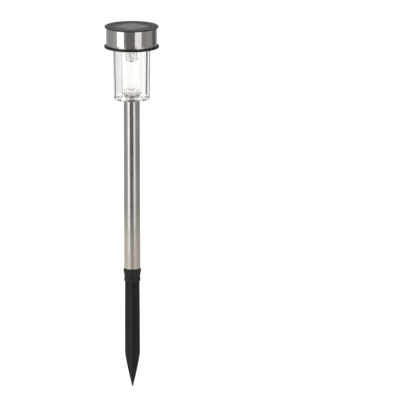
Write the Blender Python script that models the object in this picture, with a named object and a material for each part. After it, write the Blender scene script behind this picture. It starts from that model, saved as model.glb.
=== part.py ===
"""Solar garden stake light, as separate pieces at their real size.

The frame's origin is on the light's axis, at the underside of the spike's collar,
which is where the soil's surface comes. +Z is up. The clear cup stands on the steel
tube, and the head sits on the cup with a three-lug bayonet.
"""
import math

import bmesh
import bpy
from mathutils import Matrix, Vector

MM = 0.001
GAP = 0.3 * MM  # clearance between two pieces that touch
OVERLAP = 0.4 * MM  # how far a joined shape reaches into the one it joins
FINE_STEPS = 64
ROUND_STEPS = 48
SLEEVE_STEPS = 36
SMALL_STEPS = 24

# Ground spike: four fins below a collar, and a ribbed plug above it
SPIKE_TURN = math.radians(-8.0)
FIN_HALF_WIDTH = 7.35 * MM
FIN_TOP_HALF_WIDTH = 7.1 * MM
FIN_THICKNESS = 3.0 * MM
FIN_STRAIGHT_Z = -71.0 * MM
SPIKE_TIP_Z = -105.0 * MM
TIP_HALF_WIDTH = 0.5 * MM
COLLAR_RING_RADIUS = 8.0 * MM
COLLAR_NECK_RADIUS = 7.9 * MM
COLLAR_FLANGE_RADIUS = 8.7 * MM
COLLAR_HEIGHT = 12.7 * MM
PLUG_HEIGHT = 25.0 * MM
PLUG_RIBS = 8
PLUG_RIB_DEPTH = 1.0 * MM

# Tube
TUBE_RADIUS = 8.0 * MM
TUBE_WALL = 0.5 * MM
TUBE_BOTTOM_Z = COLLAR_HEIGHT + GAP
TUBE_TOP_Z = 189.3 * MM

# Clear cup
LENS_BOTTOM_Z = 181.8 * MM
LENS_BOTTOM_RADIUS = 17.6 * MM
LENS_TOP_RADIUS = 18.4 * MM
LENS_WALL = 1.6 * MM
LENS_FLOOR = 2.0 * MM
FLUTE_DEPTH = 0.2 * MM
FLUTE_COUNT = 36
SOCKET_WALL = 1.6 * MM

# Head, from its underside up
HEAD_BOTTOM_Z = 233.3 * MM
FLANGE_RADIUS = 26.85 * MM
FLANGE_THICKNESS = 2.0 * MM
BAND_RADIUS = 25.0 * MM
BAND_WALL = 0.5 * MM
DISC_RADIUS = 26.45 * MM
DISC_RIM = 1.3 * MM
HEAD_TOP_Z = 254.6 * MM
RECESS_RADIUS = 19.2 * MM
RECESS_DEPTH = 2.0 * MM
DISC_FLOOR = 1.2 * MM
CELL_SIDE = 25.0 * MM
CELL_THICKNESS = 0.4 * MM
WINDOW_THICKNESS = 0.7 * MM
WINDOW_DROP = 0.3 * MM

# Bayonet between the cup's neck and the housing
LUG_COUNT = 3
LUG_HALF_ANGLE = math.radians(7.0)
SLOT_HALF_ANGLE = math.radians(9.0)
LOCK_ANGLE = math.radians(25.0)
STOP_ANGLE = math.radians(5.0)
STOP_CLEARANCE = math.radians(1.3)
NECK_TOP_Z = 237.6 * MM
LUG_RADIUS = 20.1 * MM
LUG_HEIGHT = 1.4 * MM
LEDGE_TOP_Z = 235.6 * MM
SLOT_RADIUS = 20.5 * MM
CHANNEL_RADIUS = 20.7 * MM
FLOOR_BOTTOM_Z = 239.2 * MM
FLOOR_THICKNESS = 1.5 * MM
FLOOR_TOP_Z = FLOOR_BOTTOM_Z + FLOOR_THICKNESS
SEAL_INNER_RADIUS = 16.8 * MM
SEAL_OUTER_RADIUS = 18.7 * MM

# Light and its sleeve
LED_TIP_Z = 218.6 * MM
LED_RADIUS = 2.5 * MM
LED_LENGTH = 8.7 * MM
LED_RIM_RADIUS = 2.9 * MM
LEG_SPACING = 2.54 * MM
LEG_SIDE = 0.5 * MM
SLEEVE_RADIUS = 6.0 * MM
SLEEVE_WALL = 1.0 * MM
SLEEVE_BOTTOM_Z = 220.5 * MM
SPIGOT_BOTTOM_Z = 236.5 * MM
SPIGOT_HOLE_RADIUS = 3.5 * MM

# Battery, lying along X in front of the circuit board
BATTERY_RADIUS = 5.05 * MM
BATTERY_LENGTH = 28.5 * MM
BATTERY_Y = -11.5 * MM
BATTERY_Z = FLOOR_TOP_Z + GAP + BATTERY_RADIUS
CONTACT_THICKNESS = 0.4 * MM
SPRING_LENGTH = 1.65 * MM

# Circuit board and what is on it
BOARD_LENGTH = 22.0 * MM
BOARD_BACK_Y = 11.0 * MM
BOARD_FRONT_Y = -4.0 * MM
BOARD_BOTTOM_Z = 244.8 * MM
BOARD_THICKNESS = 1.2 * MM
BOARD_TOP_Z = BOARD_BOTTOM_Z + BOARD_THICKNESS
WIRE_RADIUS = 0.55 * MM
PANEL_WIRE_X = 3.0 * MM
PANEL_WIRE_Y = 3.0 * MM

# Slide switch, its knob reaching down through the housing's floor
SWITCH_Y = 8.5 * MM
SWITCH_TRAVEL = 2.0 * MM
SWITCH_HEIGHT = 3.4 * MM
KNOB_SIDE = 1.5 * MM
KNOB_BOTTOM_Z = 237.0 * MM

# Screws that hold the housing to the cap plate, clear of the battery
SCREW_CIRCLE = 14.2 * MM
SCREW_ANGLES = (math.radians(90.0), math.radians(190.0), math.radians(350.0))
SCREW_RADIUS = 1.05 * MM
SCREW_HEAD_RADIUS = 2.0 * MM
SCREW_HEAD_HEIGHT = 1.6 * MM
SCREW_TIP_Z = 248.0 * MM
PILOT_RADIUS = SCREW_RADIUS + GAP
BOSS_RADIUS = 2.2 * MM


def clear_scene():
    """Remove every object, so that the script can run in an open file."""
    for old in list(bpy.data.objects):
        bpy.data.objects.remove(old, do_unlink=True)


def material(name, colour, roughness, metallic=0.0, transmission=0.0):
    """Principled material with one colour, roughness and metallic value."""
    made = bpy.data.materials.new(name)
    made.use_nodes = True
    shader = made.node_tree.nodes["Principled BSDF"]
    shader.inputs["Base Color"].default_value = (*colour, 1.0)
    shader.inputs["Roughness"].default_value = roughness
    shader.inputs["Metallic"].default_value = metallic
    shader.inputs["Transmission Weight"].default_value = transmission
    made.diffuse_color = (*colour, 1.0)
    return made


def black_plastic():
    return material("black_plastic", (0.02, 0.02, 0.022), 0.42)


def grey_plastic():
    return material("dark_grey_plastic", (0.06, 0.06, 0.06), 0.35)


def stainless_steel():
    return material("stainless_steel", (0.62, 0.6, 0.58), 0.25, 1.0)


def plated_steel():
    return material("plated_steel", (0.7, 0.69, 0.66), 0.3, 1.0)


def clear_plastic():
    return material("clear_plastic", (0.95, 0.96, 0.96), 0.05, 0.0, 1.0)


def cell_silicon():
    return material("cell_silicon", (0.03, 0.03, 0.045), 0.25)


def rubber():
    return material("rubber", (0.03, 0.03, 0.03), 0.8)


def board_laminate():
    return material("board_laminate", (0.35, 0.27, 0.12), 0.5)


def battery_jacket():
    return material("battery_jacket", (0.05, 0.28, 0.12), 0.35)


def ferrite():
    return material("ferrite", (0.05, 0.045, 0.045), 0.6)


def wire_jacket(name, colour):
    return material(name, colour, 0.5)


def finish_mesh(name, bm, sharp_angle=35.0):
    """Turn a bmesh into a mesh with outward faces and smooth round sides."""
    bmesh.ops.recalc_face_normals(bm, faces=bm.faces)
    mesh = bpy.data.meshes.new(name)
    bm.to_mesh(mesh)
    bm.free()
    mesh.shade_smooth()
    mesh.set_sharp_from_angle(angle=math.radians(sharp_angle))
    return mesh


def place(name, mesh, finish, parent=None, location=(0.0, 0.0, 0.0)):
    """Add a mesh to the scene as one named piece."""
    piece = bpy.data.objects.new(name, mesh)
    bpy.context.scene.collection.objects.link(piece)
    piece.location = location
    if parent is not None:
        piece.parent = parent
        piece.matrix_parent_inverse = Matrix.Translation(parent.location).inverted()
    if finish is not None:
        piece.data.materials.append(finish)
    return piece


def helper(name, mesh, parent=None, location=(0.0, 0.0, 0.0)):
    """Add a mesh that only shapes another piece and is no piece itself."""
    guide = place(name, mesh, None, parent, location)
    guide.hide_render = True
    guide.display_type = "WIRE"
    return guide


def combine(piece, guide, operation):
    """Join a guide's shape to a piece (UNION) or cut it away (DIFFERENCE)."""
    modifier = piece.modifiers.new(guide.name, "BOOLEAN")
    modifier.operation = operation
    modifier.solver = "EXACT"
    modifier.object = guide


def turned(bm, profile, steps, centre=(0.0, 0.0)):
    """Turn a closed profile of (radius, z) or (radius, z, flute depth) about Z.

    A profile that meets the axis starts and ends there, at radius 0. Every second
    step of a fluted point stands its flute depth further out.
    """
    rings = []
    for point in profile:
        radius, height = point[0], point[1]
        depth = point[2] if len(point) > 2 else 0.0
        if radius == 0.0:
            rings.append([bm.verts.new((centre[0], centre[1], height))])
            continue
        ring = []
        for step in range(steps):
            angle = 2.0 * math.pi * step / steps
            reach = radius + depth * (step % 2)
            x = centre[0] + reach * math.cos(angle)
            y = centre[1] + reach * math.sin(angle)
            ring.append(bm.verts.new((x, y, height)))
        rings.append(ring)
    on_axis = len(rings[0]) == 1
    pairs = list(zip(rings, rings[1:]))
    if not on_axis:
        pairs.append((rings[-1], rings[0]))
    for low, high in pairs:
        for step in range(steps):
            after = (step + 1) % steps
            if len(low) == 1:
                bm.faces.new((low[0], high[step], high[after]))
            elif len(high) == 1:
                bm.faces.new((low[step], low[after], high[0]))
            else:
                bm.faces.new((low[step], low[after], high[after], high[step]))


def turned_mesh(name, profile, steps, turn_to_x=False):
    """Mesh of a profile turned about Z, or laid down so that its axis is X."""
    bm = bmesh.new()
    turned(bm, profile, steps)
    if turn_to_x:
        quarter = Matrix.Rotation(math.radians(90.0), 4, "Y")
        bmesh.ops.transform(bm, matrix=quarter, verts=bm.verts)
    return finish_mesh(name, bm)


def skin(bm, sections):
    """Close a stack of sections with equal numbers of points into one body."""
    loops = [[bm.verts.new(point) for point in section] for section in sections]
    for low, high in zip(loops, loops[1:]):
        for index in range(len(low)):
            after = (index + 1) % len(low)
            bm.faces.new((low[index], low[after], high[after], high[index]))
    bm.faces.new(loops[0])
    bm.faces.new(loops[-1])


def block(bm, low, high):
    """Rectangular block between two opposite corners."""
    corners = ((low[0], low[1]), (high[0], low[1]), (high[0], high[1]), (low[0], high[1]))
    skin(bm, [[(x, y, z) for x, y in corners] for z in (low[2], high[2])])


def sector(bm, inner, outer, low, high, start, end, steps=4):
    """Block between two radii, two heights and two angles."""
    angles = [start + (end - start) * step / steps for step in range(steps + 1)]
    outline = [(inner * math.cos(a), inner * math.sin(a)) for a in angles]
    outline += [(outer * math.cos(a), outer * math.sin(a)) for a in reversed(angles)]
    skin(bm, [[(x, y, z) for x, y in outline] for z in (low, high)])


def slab(bm, outline, low, high):
    """Upright prism on an outline in X and Y."""
    skin(bm, [[(x, y, z) for x, y in outline] for z in (low, high)])


def rounded_rectangle(half_x, half_y, radius, corner_steps=3):
    """Outline of a rectangle about the origin with round corners."""
    outline = []
    for quarter, (side_x, side_y) in enumerate(((1, 1), (-1, 1), (-1, -1), (1, -1))):
        for step in range(corner_steps + 1):
            angle = math.radians(90.0) * (quarter + step / corner_steps)
            x = side_x * (half_x - radius) + radius * math.cos(angle)
            y = side_y * (half_y - radius) + radius * math.sin(angle)
            outline.append((x, y))
    return outline


def lug_angles():
    return [2.0 * math.pi * index / LUG_COUNT for index in range(LUG_COUNT)]


def screw_centres():
    return [(SCREW_CIRCLE * math.cos(a), SCREW_CIRCLE * math.sin(a)) for a in SCREW_ANGLES]


# ---------------------------------------------------------------- ground spike


def fin_section(half_width, half_thickness, height):
    """Cross of four fins with bevelled edges and filleted roots."""
    bevel = 0.22 * half_thickness
    fillet = 0.5 * half_thickness * (half_width / FIN_HALF_WIDTH)
    fin = (
        (half_thickness + fillet, -half_thickness),
        (half_width - bevel, -half_thickness),
        (half_width, bevel - half_thickness),
        (half_width, half_thickness - bevel),
        (half_width - bevel, half_thickness),
        (half_thickness + fillet, half_thickness),
    )
    points = []
    for quarter in range(4):
        turn = SPIKE_TURN + quarter * math.radians(90.0)
        for x, y in fin:
            turned_x = x * math.cos(turn) - y * math.sin(turn)
            turned_y = x * math.sin(turn) + y * math.cos(turn)
            points.append((turned_x, turned_y, height))
    return points


def spike_blade():
    """Fins that widen a little downwards, run straight, then curve to a point."""
    half_thickness = 0.5 * FIN_THICKNESS
    root = 3.0 * MM
    sections = [fin_section(FIN_TOP_HALF_WIDTH, half_thickness, root)]
    sections.append(fin_section(FIN_TOP_HALF_WIDTH, half_thickness, -3.0 * MM))
    sections.append(fin_section(FIN_HALF_WIDTH, half_thickness, 0.5 * FIN_STRAIGHT_Z))
    taper_steps = 8
    for step in range(taper_steps + 1):
        along = step / taper_steps
        height = FIN_STRAIGHT_Z + (SPIKE_TIP_Z - FIN_STRAIGHT_Z) * along
        narrowing = along ** 1.25
        half_width = FIN_HALF_WIDTH + (TIP_HALF_WIDTH - FIN_HALF_WIDTH) * narrowing
        thinning = (half_width / FIN_HALF_WIDTH) ** 0.65
        sections.append(fin_section(half_width, half_thickness * thinning, height))
    bm = bmesh.new()
    skin(bm, sections)
    return finish_mesh("spike_blade", bm)


def spike_plug():
    """Ribbed plug that the tube pushes over, with a lead-in at its top."""
    outer = TUBE_RADIUS - TUBE_WALL - GAP
    root = outer - PLUG_RIB_DEPTH
    outline = []
    for rib in range(PLUG_RIBS):
        middle = 2.0 * math.pi * rib / PLUG_RIBS
        for offset, reach in ((-0.3, root), (-0.18, outer), (0.0, outer), (0.18, outer), (0.3, root)):
            angle = middle + offset * 2.0 * math.pi / PLUG_RIBS
            outline.append((reach * math.cos(angle), reach * math.sin(angle)))
    lead_in = 0.8
    top = COLLAR_HEIGHT + PLUG_HEIGHT
    heights = ((COLLAR_HEIGHT - OVERLAP, 1.0), (top - 2.0 * MM, 1.0), (top, lead_in))
    bm = bmesh.new()
    skin(bm, [[(x * size, y * size, z) for x, y in outline] for z, size in heights])
    return finish_mesh("spike_plug", bm)


def build_spike(finish):
    ring_top = 4.0 * MM
    groove_top = 4.6 * MM
    funnel_bottom = 6.2 * MM
    funnel_top = 10.4 * MM
    ring_bevel = 0.8 * MM
    edge = 0.4 * MM
    profile = (
        (0.0, 0.0),
        (COLLAR_RING_RADIUS - ring_bevel, 0.0),
        (COLLAR_RING_RADIUS - 0.3 * ring_bevel, 0.4 * ring_bevel),
        (COLLAR_RING_RADIUS, 1.4 * ring_bevel),
        (COLLAR_RING_RADIUS, ring_top - edge),
        (COLLAR_RING_RADIUS - edge, ring_top),
        (COLLAR_NECK_RADIUS - edge, groove_top),
        (COLLAR_NECK_RADIUS, groove_top + edge),
        (COLLAR_NECK_RADIUS, funnel_bottom),
        (COLLAR_FLANGE_RADIUS, funnel_top),
        (COLLAR_FLANGE_RADIUS, COLLAR_HEIGHT - edge),
        (COLLAR_FLANGE_RADIUS - edge, COLLAR_HEIGHT),
        (0.0, COLLAR_HEIGHT),
    )
    spike = place("ground_spike", turned_mesh("ground_spike", profile, ROUND_STEPS), finish)
    combine(spike, helper("spike_blade_shape", spike_blade(), spike), "UNION")
    combine(spike, helper("spike_plug_shape", spike_plug(), spike), "UNION")
    return spike


# ------------------------------------------------------------------------ tube


def build_tube(finish):
    edge = 0.15 * MM
    inner = TUBE_RADIUS - TUBE_WALL
    profile = (
        (inner, TUBE_BOTTOM_Z),
        (TUBE_RADIUS - edge, TUBE_BOTTOM_Z),
        (TUBE_RADIUS, TUBE_BOTTOM_Z + edge),
        (TUBE_RADIUS, TUBE_TOP_Z - edge),
        (TUBE_RADIUS - edge, TUBE_TOP_Z),
        (inner, TUBE_TOP_Z),
    )
    return place("tube", turned_mesh("tube", profile, ROUND_STEPS), finish)


# ------------------------------------------------------------------- clear cup


def build_lens(finish):
    """Cup with a closed socket in its floor, flutes inside and lugs on its neck."""
    socket = TUBE_RADIUS + GAP
    socket_top = TUBE_TOP_Z + GAP
    boss = socket + SOCKET_WALL
    boss_top = socket_top + SOCKET_WALL
    floor = LENS_BOTTOM_Z + LENS_FLOOR
    neck_inner = LENS_TOP_RADIUS - LENS_WALL
    wall_top = neck_inner - FLUTE_DEPTH
    wall_bottom = LENS_BOTTOM_RADIUS - LENS_WALL - FLUTE_DEPTH
    edge = 1.5 * MM
    profile = (
        (0.0, socket_top),
        (socket, socket_top),
        (socket, LENS_BOTTOM_Z),
        (LENS_BOTTOM_RADIUS - edge, LENS_BOTTOM_Z),
        (LENS_BOTTOM_RADIUS - 0.3 * edge, LENS_BOTTOM_Z + 0.3 * edge),
        (LENS_BOTTOM_RADIUS, LENS_BOTTOM_Z + edge),
        (LENS_TOP_RADIUS, HEAD_BOTTOM_Z),
        (LENS_TOP_RADIUS, NECK_TOP_Z),
        (neck_inner, NECK_TOP_Z),
        (neck_inner, HEAD_BOTTOM_Z),
        (wall_top, HEAD_BOTTOM_Z - 1.0 * MM, FLUTE_DEPTH),
        (wall_bottom, floor + edge, FLUTE_DEPTH),
        (wall_bottom - edge, floor),
        (boss, floor),
        (boss, boss_top - 0.5 * MM),
        (boss - 0.5 * MM, boss_top),
        (0.0, boss_top),
    )
    lens = place("lens", turned_mesh("lens", profile, 2 * FLUTE_COUNT), finish)
    bm = bmesh.new()
    top = NECK_TOP_Z - 0.25 * MM
    for angle in lug_angles():
        start = angle - LUG_HALF_ANGLE
        end = angle + LUG_HALF_ANGLE
        inner = LENS_TOP_RADIUS - OVERLAP
        sector(bm, inner, LUG_RADIUS, top - LUG_HEIGHT, top, start, end)
    combine(lens, helper("lens_lug_shapes", finish_mesh("lens_lugs", bm), lens), "UNION")
    return lens


def build_seal(finish):
    low = NECK_TOP_Z + GAP
    high = FLOOR_BOTTOM_Z - GAP
    edge = 0.25 * MM
    profile = (
        (SEAL_INNER_RADIUS + edge, low),
        (SEAL_OUTER_RADIUS - edge, low),
        (SEAL_OUTER_RADIUS, low + edge),
        (SEAL_OUTER_RADIUS, high - edge),
        (SEAL_OUTER_RADIUS - edge, high),
        (SEAL_INNER_RADIUS + edge, high),
        (SEAL_INNER_RADIUS, high - edge),
        (SEAL_INNER_RADIUS, low + edge),
    )
    return place("head_seal", turned_mesh("head_seal", profile, SLEEVE_STEPS), finish)


# --------------------------------------------------------------- head housing


def housing_additions():
    """Bayonet stops, battery saddles, contact ribs and board posts."""
    bm = bmesh.new()
    for angle in lug_angles():
        before = angle - LUG_HALF_ANGLE - STOP_CLEARANCE - STOP_ANGLE - math.radians(1.0)
        past = angle + LUG_HALF_ANGLE + LOCK_ANGLE + STOP_CLEARANCE
        for start in (before, past):
            inner = LENS_TOP_RADIUS + 2.0 * GAP
            outer = CHANNEL_RADIUS + OVERLAP
            low = LEDGE_TOP_Z - OVERLAP
            high = FLOOR_BOTTOM_Z + OVERLAP
            sector(bm, inner, outer, low, high, start, start + STOP_ANGLE)
    root = FLOOR_TOP_Z - OVERLAP
    saddle_half_width = 4.4 * MM
    saddle_top = FLOOR_TOP_Z + 3.0 * MM
    for side in (-1.0, 1.0):
        middle = side * 8.0 * MM
        low = (middle - 1.0 * MM, BATTERY_Y - saddle_half_width, root)
        high = (middle + 1.0 * MM, BATTERY_Y + saddle_half_width, saddle_top)
        block(bm, low, high)
    rib_top = FLOOR_TOP_Z + 5.0 * MM
    rib_half_width = 2.0 * MM
    for rib_x in (0.5 * BATTERY_LENGTH + 1.2 * MM, -0.5 * BATTERY_LENGTH - 4.0 * MM):
        low = (rib_x, BATTERY_Y - rib_half_width, root)
        high = (rib_x + 1.0 * MM, BATTERY_Y + rib_half_width, rib_top)
        block(bm, low, high)
    post_x = 0.5 * BOARD_LENGTH - 1.8 * MM
    post_back = BOARD_BACK_Y - 1.8 * MM
    post_front = BOARD_FRONT_Y + 1.8 * MM
    post = ((0.0, root), (1.4 * MM, root), (1.4 * MM, BOARD_BOTTOM_Z - GAP), (0.0, BOARD_BOTTOM_Z - GAP))
    for centre in ((-post_x, post_back), (post_x, post_back), (-post_x, post_front), (post_x, post_front)):
        turned(bm, post, 12, centre)
    return finish_mesh("housing_additions", bm)


def housing_cuts():
    """Bayonet slots, screw holes and the switch slot."""
    bm = bmesh.new()
    for angle in lug_angles():
        start = angle - SLOT_HALF_ANGLE
        end = angle + SLOT_HALF_ANGLE
        inner = LENS_TOP_RADIUS
        sector(bm, inner, SLOT_RADIUS, HEAD_BOTTOM_Z - OVERLAP, LEDGE_TOP_Z + 0.1 * MM, start, end)
    low = FLOOR_BOTTOM_Z - OVERLAP
    high = FLOOR_TOP_Z + OVERLAP
    hole = ((0.0, low), (PILOT_RADIUS, low), (PILOT_RADIUS, high), (0.0, high))
    for centre in screw_centres():
        turned(bm, hole, 16, centre)
    half_x = 0.5 * (SWITCH_TRAVEL + KNOB_SIDE) + GAP
    half_y = 0.5 * KNOB_SIDE + GAP
    block(bm, (-half_x, SWITCH_Y - half_y, low), (half_x, SWITCH_Y + half_y, high))
    return finish_mesh("housing_cuts", bm)


def battery_bed():
    """Cylinder a little larger than the battery, which hollows its saddles."""
    radius = BATTERY_RADIUS + GAP
    half = 0.5 * BATTERY_LENGTH - 3.0 * MM
    profile = ((0.0, -half), (radius, -half), (radius, half), (0.0, half))
    return turned_mesh("battery_bed", profile, 32, turn_to_x=True)


def build_housing(finish):
    """Flange, lens mouth, bayonet channel, floor and outer wall in one moulding."""
    mouth = LENS_TOP_RADIUS + 0.5 * MM
    flange_top = HEAD_BOTTOM_Z + FLANGE_THICKNESS
    wall_outer = BAND_RADIUS - BAND_WALL - 1.3 * GAP
    wall_inner = wall_outer - 1.4 * MM
    wall_top = FLOOR_TOP_Z + 8.5 * MM
    spigot = SLEEVE_RADIUS - SLEEVE_WALL - GAP
    edge = 0.5 * MM
    profile = (
        (mouth, HEAD_BOTTOM_Z),
        (FLANGE_RADIUS - edge, HEAD_BOTTOM_Z),
        (FLANGE_RADIUS, HEAD_BOTTOM_Z + edge),
        (FLANGE_RADIUS, flange_top - edge),
        (FLANGE_RADIUS - edge, flange_top),
        (wall_outer, flange_top),
        (wall_outer, wall_top),
        (wall_inner, wall_top),
        (wall_inner, FLOOR_TOP_Z),
        (SPIGOT_HOLE_RADIUS, FLOOR_TOP_Z),
        (SPIGOT_HOLE_RADIUS, SPIGOT_BOTTOM_Z),
        (spigot, SPIGOT_BOTTOM_Z),
        (spigot, FLOOR_BOTTOM_Z),
        (CHANNEL_RADIUS, FLOOR_BOTTOM_Z),
        (CHANNEL_RADIUS, LEDGE_TOP_Z),
        (mouth, LEDGE_TOP_Z),
    )
    housing = place("base_housing", turned_mesh("base_housing", profile, FINE_STEPS), finish)
    bed_place = (0.0, BATTERY_Y, BATTERY_Z)
    combine(housing, helper("housing_addition_shapes", housing_additions(), housing), "UNION")
    combine(housing, helper("housing_cut_shapes", housing_cuts(), housing), "DIFFERENCE")
    combine(housing, helper("battery_bed_shape", battery_bed(), housing, bed_place), "DIFFERENCE")
    return housing


def build_band(finish, parent):
    low = HEAD_BOTTOM_Z + FLANGE_THICKNESS + GAP
    high = HEAD_TOP_Z - DISC_RIM - GAP
    inner = BAND_RADIUS - BAND_WALL
    edge = 0.15 * MM
    profile = (
        (inner, low),
        (BAND_RADIUS - edge, low),
        (BAND_RADIUS, low + edge),
        (BAND_RADIUS, high - edge),
        (BAND_RADIUS - edge, high),
        (inner, high),
    )
    return place("cap_band", turned_mesh("cap_band", profile, FINE_STEPS), finish, parent)


def build_disc(finish, parent):
    """Cap plate with the panel recess on top and the screw bosses below."""
    recess_floor = HEAD_TOP_Z - RECESS_DEPTH
    bottom = recess_floor - DISC_FLOOR
    rim_bottom = HEAD_TOP_Z - DISC_RIM
    spigot = BAND_RADIUS - BAND_WALL - 1.3 * GAP
    edge = 0.35 * MM
    profile = (
        (0.0, bottom),
        (spigot, bottom),
        (spigot, rim_bottom),
        (DISC_RADIUS - edge, rim_bottom),
        (DISC_RADIUS, rim_bottom + edge),
        (DISC_RADIUS, HEAD_TOP_Z - edge),
        (DISC_RADIUS - edge, HEAD_TOP_Z),
        (RECESS_RADIUS + edge, HEAD_TOP_Z),
        (RECESS_RADIUS, HEAD_TOP_Z - edge),
        (RECESS_RADIUS, recess_floor),
        (0.0, recess_floor),
    )
    disc = place("top_disc", turned_mesh("top_disc", profile, FINE_STEPS), finish, parent)
    bm = bmesh.new()
    boss_bottom = FLOOR_TOP_Z + GAP
    bore_top = SCREW_TIP_Z + 1.0 * MM
    boss_top = bottom + OVERLAP
    boss = (
        (0.0, bore_top),
        (PILOT_RADIUS, bore_top),
        (PILOT_RADIUS, boss_bottom),
        (BOSS_RADIUS, boss_bottom),
        (BOSS_RADIUS, boss_top),
        (0.0, boss_top),
    )
    for centre in screw_centres():
        turned(bm, boss, 20, centre)
    combine(disc, helper("disc_boss_shapes", finish_mesh("disc_bosses", bm), disc), "UNION")
    bm = bmesh.new()
    hole_radius = WIRE_RADIUS + 1.2 * GAP
    low = bottom - OVERLAP
    high = recess_floor + OVERLAP
    hole = ((0.0, low), (hole_radius, low), (hole_radius, high), (0.0, high))
    for side in (-1.0, 1.0):
        turned(bm, hole, 16, (side * PANEL_WIRE_X, PANEL_WIRE_Y))
    combine(disc, helper("wire_hole_shapes", finish_mesh("wire_holes", bm), disc), "DIFFERENCE")
    return disc


def build_window(finish, parent):
    radius = RECESS_RADIUS - GAP
    high = HEAD_TOP_Z - WINDOW_DROP
    low = high - WINDOW_THICKNESS
    edge = 0.2 * MM
    profile = ((0.0, low), (radius, low), (radius, high - edge), (radius - edge, high), (0.0, high))
    return place("panel_window", turned_mesh("panel_window", profile, FINE_STEPS), finish, parent)


def build_cell(finish, parent):
    """Square cell, standing on its corner as seen from the front."""
    low = HEAD_TOP_Z - RECESS_DEPTH + GAP
    half = 0.5 * CELL_SIDE
    eighth = math.radians(45.0)
    outline = []
    for x, y in rounded_rectangle(half, half, 0.6 * MM, 2):
        turned_x = x * math.cos(eighth) - y * math.sin(eighth)
        turned_y = x * math.sin(eighth) + y * math.cos(eighth)
        outline.append((turned_x, turned_y))
    bm = bmesh.new()
    slab(bm, outline, low, low + CELL_THICKNESS)
    return place("solar_cell", finish_mesh("solar_cell", bm), finish, parent)


# ----------------------------------------------------------- light and circuit


def build_led(finish, parent):
    """Domed light pointing down, with a pocket for the ends of its legs."""
    rim_bottom = LED_TIP_Z + LED_LENGTH - 1.0 * MM
    top = LED_TIP_Z + LED_LENGTH
    dome_steps = 6
    profile = []
    for step in range(dome_steps + 1):
        angle = math.radians(90.0) * step / dome_steps
        radius = 0.0 if step == 0 else LED_RADIUS * math.sin(angle)
        height = LED_TIP_Z + LED_RADIUS * (1.0 - math.cos(angle))
        profile.append((radius, height))
    profile += [(LED_RADIUS, rim_bottom), (LED_RIM_RADIUS, rim_bottom), (LED_RIM_RADIUS, top), (0.0, top)]
    led = place("led", turned_mesh("led", profile, SMALL_STEPS), finish, parent)
    bm = bmesh.new()
    half_x = 0.5 * LEG_SPACING + 0.5 * LEG_SIDE + GAP
    half_y = 0.5 * LEG_SIDE + GAP
    block(bm, (-half_x, -half_y, LED_TIP_Z + 3.7 * MM), (half_x, half_y, top + OVERLAP))
    combine(led, helper("led_pocket_shape", finish_mesh("led_pocket", bm), led), "DIFFERENCE")
    return led


def upright_plate(bm, outline, low_y, high_y):
    """Plate on an outline in X and Z, between two values of Y."""
    skin(bm, [[(x, y, z) for x, z in outline] for y in (low_y, high_y)])


def build_legs(finish, parent):
    """Two leads: the cathode ends in a cup-shaped anvil, the anode in a post."""
    half = 0.5 * LEG_SIDE
    leg_x = 0.5 * LEG_SPACING
    top = BOARD_TOP_Z + 0.6 * MM
    bottom = LED_TIP_Z + 4.0 * MM
    anvil_top = bottom + 1.5 * MM
    cathode = (
        (-leg_x - half, bottom),
        (0.1 * MM, bottom),
        (0.1 * MM, bottom + 0.5 * MM),
        (half - leg_x, anvil_top),
        (half - leg_x, top),
        (-leg_x - half, top),
    )
    anode = (
        (leg_x + half, top),
        (leg_x - half, top),
        (leg_x - half, anvil_top),
        (leg_x - 2.0 * half, bottom + 0.5 * MM),
        (leg_x - 2.0 * half, bottom),
        (leg_x + half, bottom),
    )
    for name, outline in (("led_leg_cathode", cathode), ("led_leg_anode", anode)):
        bm = bmesh.new()
        upright_plate(bm, outline, -half, half)
        place(name, finish_mesh(name, bm), finish, parent)


def build_sleeve(finish, parent):
    """Clear sleeve round the light, pushed over the housing's spigot."""
    inner = SLEEVE_RADIUS - SLEEVE_WALL
    high = FLOOR_BOTTOM_Z - GAP
    profile = (
        (inner, SLEEVE_BOTTOM_Z),
        (SLEEVE_RADIUS, SLEEVE_BOTTOM_Z),
        (SLEEVE_RADIUS, high),
        (inner, high),
    )
    return place("led_sleeve", turned_mesh("led_sleeve", profile, SLEEVE_STEPS), finish, parent)


def build_board(finish, parent):
    """Circuit board with the two holes that the light's legs come up through."""
    middle_y = 0.5 * (BOARD_BACK_Y + BOARD_FRONT_Y)
    half_y = 0.5 * (BOARD_BACK_Y - BOARD_FRONT_Y)
    outline = rounded_rectangle(0.5 * BOARD_LENGTH, half_y, 1.0 * MM)
    outline = [(x, y + middle_y) for x, y in outline]
    bm = bmesh.new()
    slab(bm, outline, BOARD_BOTTOM_Z, BOARD_TOP_Z)
    board = place("circuit_board", finish_mesh("circuit_board", bm), finish, parent)
    bm = bmesh.new()
    hole_radius = 0.5 * LEG_SIDE * math.sqrt(2.0) + GAP
    low = BOARD_BOTTOM_Z - OVERLAP
    high = BOARD_TOP_Z + OVERLAP
    hole = ((0.0, low), (hole_radius, low), (hole_radius, high), (0.0, high))
    for side in (-1.0, 1.0):
        turned(bm, hole, 16, (side * 0.5 * LEG_SPACING, 0.0))
    combine(board, helper("leg_hole_shapes", finish_mesh("leg_holes", bm), board), "DIFFERENCE")
    return board


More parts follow.
